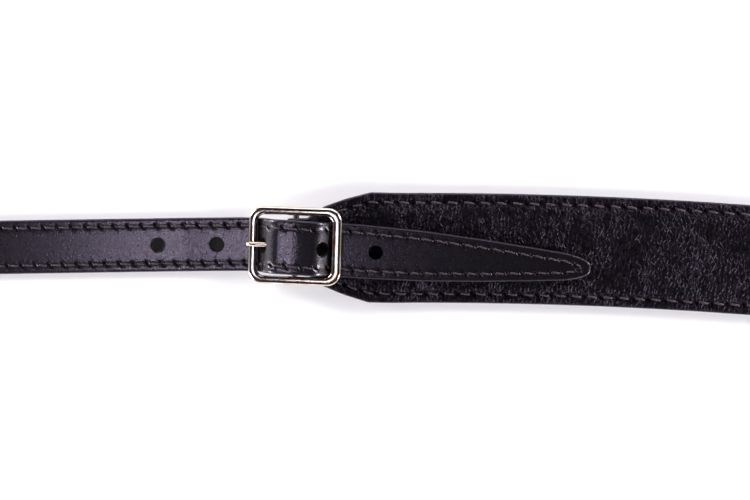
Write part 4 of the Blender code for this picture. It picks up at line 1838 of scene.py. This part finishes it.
@dataclass
class Buckle:
    """Centre-bar buckle of rounded bars, with its prong on the front bar."""

    layout: Layout
    finishes: Finishes
    width: float = 22.0 * MM
    rail: float = 2.35 * MM
    corner: float = 3.9 * MM
    inner_corner: float = 2.3 * MM
    eye_wall: float = 0.75 * MM
    eye_width: float = 2.0 * MM
    prong_tip: float = 0.55 * MM
    overhang: float = 0.5 * MM
    corner_steps: int = 16
    bar_sides: int = 28
    squareness: float = 0.62
    prong_sides: int = 28
    prong_steps: int = 40
    nose_steps: int = 9
    nose_least: float = 0.03
    taper_from: float = 0.5
    knee: Row = (0.55, 0.72)
    knee_radius: float = 12 * MM
    rest_radius: float = 6 * MM
    eye_core: float = 0.6
    eye_ease: float = 0.35 * MM
    eye_sides: int = 48
    centre_sides: int = 32
    sharp: float = math.radians(40)

    def outline(self, left: float, right: float, half: float, radius: float) -> Array:
        """Corner-rounded outline in the buckle's plane.

        Args:
            left: Lowest x.
            right: Highest x.
            half: Half the width.
            radius: Radius of the corners.

        Returns:
            Points of x and y.
        """
        points = []
        for index, (x, y) in enumerate(((right, half), (left, half), (left, -half), (right, -half))):
            centre = (x - math.copysign(radius, x), y - math.copysign(radius, y))
            for step in range(self.corner_steps + 1):
                angle = math.pi / 2 * (index + step / self.corner_steps)
                points.append(
                    (centre[0] + radius * math.cos(angle), centre[1] + radius * math.sin(angle))
                )
        return np.array(points)

    def build_frame(self) -> Mesh:
        """Make the frame with its centre bar.

        Returns:
            The mesh.
        """
        lay = self.layout
        half = lay.frame_length / 2
        outer = self.outline(-half, half, self.width / 2, self.corner)
        inner = self.outline(
            lay.front_bar - half,
            half - lay.rear_bar,
            self.width / 2 - self.rail,
            self.inner_corner,
        )
        angles = round_angles(self.bar_sides)
        across = np.sign(np.cos(angles)) * np.abs(np.cos(angles)) ** self.squareness
        upward = np.sign(np.sin(angles)) * np.abs(np.sin(angles)) ** self.squareness
        middle, spoke = (outer + inner) / 2, (outer - inner) / 2
        flat = middle[:, None, :] + spoke[:, None, :] * across[None, :, None]
        up = np.broadcast_to(lay.frame_height / 2 * upward, flat.shape[:2])
        ring = grid_mesh("buckle", np.concatenate([flat, up[..., None]], axis=2), closed=True)
        bar_half = (self.width - self.rail) / 2
        bar = lathe_bar("bar", lay.bar_radius, bar_half, self.centre_sides)
        return self.dress(combine(ring, bar, Work.JOIN))

    def build_prong(self) -> Mesh:
        """Make the tapered prong with its eye round the centre bar.

        Returns:
            The mesh.
        """
        lay = self.layout
        hole = lay.bar_radius + lay.gap / 2
        rest = lay.prong_rest
        tip = -lay.frame_length / 2 - self.overhang
        route = Route(
            rounded_line(
                [
                    (-hole - self.eye_wall / 2, 0, 0),
                    (lay.front_place * self.knee[0], rest * self.knee[1], self.knee_radius),
                    (lay.front_place, rest, self.rest_radius),
                    (tip, rest - 2 * lay.gap, 0),
                ]
            )
        )
        nose = self.prong_tip
        body = np.linspace(0, route.total - nose, self.prong_steps)
        turns = np.linspace(0, math.pi / 2, self.nose_steps)[1:]
        lengths = np.concatenate([body, route.total - nose + nose * np.sin(turns)])
        share = np.clip(lengths / route.total - self.taper_from, 0, 1) / (1 - self.taper_from)
        radii = lay.prong_radius + (nose - lay.prong_radius) * share
        radii[-len(turns):] = nose * np.maximum(np.cos(turns), self.nose_least)
        centres, _ = route.at(lengths)
        shank = tube_mesh("prong", centres, radii, self.prong_sides)
        profile = self.eye_profile(hole * self.eye_core, hole + self.eye_wall)
        eye = lathe_mesh("eye", profile, self.eye_sides)
        drill = lathe_bar("drill", hole, self.eye_width * 2, self.eye_sides)
        whole = combine(combine(shank, eye, Work.JOIN), drill, Work.CUT)
        whole.transform(Matrix.Translation((0, lay.prong_shift, 0)))
        return self.dress(whole)

    def eye_profile(self, inner: float, outer: float) -> list[Row]:
        """Section of the prong's eye, with rounded outer corners.

        Args:
            inner: Inner radius.
            outer: Outer radius.

        Returns:
            Rows of radius and place along the bar, closed.
        """
        half, ease = self.eye_width / 2, self.eye_ease
        rows = [(inner, -half), (outer - ease, -half)]
        rows += arc((outer - ease, ease - half), ease, -math.pi / 2, 0)[1:]
        rows += arc((outer - ease, half - ease), ease, 0, math.pi / 2)
        return rows + [(inner, half)]

    def dress(self, mesh: Mesh) -> Mesh:
        """Give a metal mesh its plate and keep its real edges sharp.

        Args:
            mesh: The mesh.

        Returns:
            The same mesh.
        """
        mesh.materials.clear()
        mesh.materials.append(self.finishes.nickel)
        mesh.shade_smooth()
        mesh.set_sharp_from_angle(angle=self.sharp)
        return mesh


def lathe_bar(name: str, radius: float, half: float, sides: int) -> Mesh:
    """Plain round bar along the Y axis.

    Args:
        name: Name of the mesh.
        radius: Its radius.
        half: Half its length.
        sides: Number of sides.

    Returns:
        The mesh.
    """
    angles = round_angles(sides)
    rows = [[(radius * math.cos(a), y, radius * math.sin(a)) for a in angles] for y in (-half, half)]
    return grid_mesh(name, np.array(rows))


@dataclass
class EndRing:
    """Welded wire ring in the folded outer end of the narrow strap."""

    finishes: Finishes
    strap: NarrowStrap
    sections: int = 96
    sides: int = 24

    def build(self) -> Mesh:
        """Make the ring where it hangs in the fold, at its end's own origin.

        Returns:
            The mesh.
        """
        strap = self.strap
        radius, wire, height = strap.ring_radius, strap.ring_wire, strap.ring_height
        rows = []
        turns = round_angles(self.sides)
        for spoke in round_angles(self.sections):
            reach = radius + wire * np.cos(turns)
            up = wire * np.sin(turns)
            rows.append(np.stack([reach * math.cos(spoke), reach * math.sin(spoke), up], axis=1))
        mesh = grid_mesh("ring", np.array(rows), closed=True)
        sideways, slope = strap.plan(np.array([-strap.run]))
        tilt = -math.asin((height - wire) / (2 * radius))
        middle_x = -strap.run - radius + strap.ring_sag
        middle = (middle_x, float(sideways[0]), (height + wire) / 2)
        turn = Matrix.Rotation(math.atan(float(slope[0])), 4, "Z")
        mesh.transform(Matrix.Translation(middle) @ turn @ Matrix.Rotation(tilt, 4, "Y"))
        mesh.materials.append(self.finishes.nickel)
        return mesh


@dataclass
class Lamp:
    """A rectangular soft light aimed at one point.

    A light for sheen only lights no matt surface, so the punched holes stay dark under it.
    """

    name: str
    place: Point
    aim: Point
    size: tuple[float, float]
    power: float
    colour: str = LAMP_TINT
    sheen_only: bool = False

    def build(self) -> bpy.types.Object:
        """Add the light to the scene, unseen by the camera.

        Returns:
            The light's object.
        """
        data = bpy.data.lights.new(self.name, "AREA")
        data.shape = "RECTANGLE"
        data.size, data.size_y = self.size
        data.energy = self.power
        data.color = linear(self.colour)[:3]
        lamp = bpy.data.objects.new(self.name, data)
        bpy.context.scene.collection.objects.link(lamp)
        lamp.location = self.place
        toward = Vector(self.aim) - Vector(self.place)
        lamp.rotation_mode = "QUATERNION"
        lamp.rotation_quaternion = toward.to_track_quat("-Z", "Y")
        lamp.visible_camera = False
        lamp.visible_diffuse = not self.sheen_only
        return lamp


@dataclass
class Studio:
    """Pale floor, soft lights and the camera at the photograph's angle."""

    aim: Point = (-0.2374, 0.012, 0.002)
    distance: float = 0.45
    lens: float = 75.6
    tilt: float = math.radians(4.0)
    floor_radius: float = 1.15
    floor_sides: int = 96
    floor_gap: float = 0.05 * MM
    sky: str = "ffffff"
    sensor: float = 36.0
    horizon: float = 1.0
    pale_below: float = math.radians(10)
    dim_above: float = math.radians(36)
    ambient: float = 0.012
    lamps: tuple[Lamp, ...] = (
        Lamp("left_back", (-1.34, 0.59, 0.50), (-0.24, 0.0, 0.0), (0.5, 0.4), 14.0),
        Lamp("left_front", (-1.34, -0.59, 0.50), (-0.24, 0.0, 0.0), (0.5, 0.4), 14.0),
        Lamp("right_back", (0.86, 0.59, 0.50), (-0.24, 0.0, 0.0), (0.5, 0.4), 14.0),
        Lamp("right_front", (0.86, -0.59, 0.50), (-0.24, 0.0, 0.0), (0.5, 0.4), 14.0),
        Lamp("back", (-0.24, 1.25, 0.50), (-0.24, 0.0, 0.0), (1.6, 0.4), 12.0),
        Lamp("front", (-0.24, -1.25, 0.45), (-0.24, 0.0, 0.0), (1.6, 0.4), 6.0),
        Lamp(
            "over_strap",
            place=(-0.330, -0.012, 0.36),
            aim=(-0.31, 0.012, 0.0),
            size=(0.05, 0.05),
            power=0.088,
            colour="f2e4ff",
            sheen_only=True,
        ),
    )

    def build_floor(self) -> None:
        """Lay the floor under the strap."""
        mesh = bpy.data.meshes.new("floor")
        turns = round_angles(self.floor_sides)
        rim = [(self.floor_radius * math.cos(t), self.floor_radius * math.sin(t), 0) for t in turns]
        mesh.from_pydata(rim, [], [tuple(range(self.floor_sides))])
        mesh.materials.append(PaperSweep().build())
        floor = bpy.data.objects.new("floor", mesh)
        bpy.context.scene.collection.objects.link(floor)
        floor.location.z = -self.floor_gap

    def build_world(self) -> None:
        """Surround everything with pale light near the horizon, fading to a dim ceiling."""
        world = bpy.data.worlds.new("studio")
        world.use_nodes = True
        tree = world.node_tree
        place = add_node(tree, "ShaderNodeTexCoord", {}, {}).outputs["Generated"]
        axes = add_node(tree, "ShaderNodeSeparateXYZ", {}, {"Vector": place})
        fade = add_node(
            tree,
            "ShaderNodeMapRange",
            {"interpolation_type": "SMOOTHSTEP"},
            {
                "Value": axes.outputs["Z"],
                "From Min": math.sin(self.pale_below),
                "From Max": math.sin(self.dim_above),
                "To Min": self.horizon,
                "To Max": self.ambient,
            },
        )
        light = {"Color": linear(self.sky), "Strength": fade.outputs["Result"]}
        feed(tree, tree.nodes["Background"], light)
        bpy.context.scene.world = world
        bpy.context.scene.view_settings.view_transform = "Standard"

    def build_camera(self) -> None:
        """Place the camera nearly straight above the left buckle."""
        data = bpy.data.cameras.new("camera")
        data.lens = self.lens
        data.sensor_width = self.sensor
        camera = bpy.data.objects.new("camera", data)
        bpy.context.scene.collection.objects.link(camera)
        offset = Vector((0, math.sin(self.tilt), math.cos(self.tilt))) * self.distance
        camera.location = Vector(self.aim) + offset
        camera.rotation_euler = (-self.tilt, 0.0, 0.0)
        bpy.context.scene.camera = camera

    def build(self) -> None:
        """Set the floor, the world, the lights and the camera."""
        self.build_floor()
        self.build_world()
        for lamp in self.lamps:
            lamp.build()
        self.build_camera()


def main() -> None:
    """Build the strap piece by piece, then the studio."""
    logging.basicConfig(level=logging.INFO, format="%(name)s: %(message)s")
    layout = Layout()
    finishes = Finishes()
    ShoulderPad(layout, finishes).set_out()
    strap = NarrowStrap(layout, finishes)
    buckle = Buckle(layout, finishes)
    straps = [
        ("punched_strap_", strap.build(), "strap_", "strap_leather"),
        ("strap_thread_", strap.thread_mesh(), "", "strap_leather"),
    ]
    buckles = [
        ("nickel_buckle_", buckle.build_frame(), "buckle_frame_", "nickel"),
        ("nickel_prong_", buckle.build_prong(), "prong_", "nickel"),
    ]
    rings = [("welded_ring_", EndRing(finishes, strap).build(), "ring_", "nickel")]
    for side in Side:
        set_out_end(side, layout.end(side), straps)
        set_out_end(side, layout.bar(side), buckles)
        set_out_end(side, layout.end(side), rings)
    Studio().build()


if __name__ == "__main__":
    main()
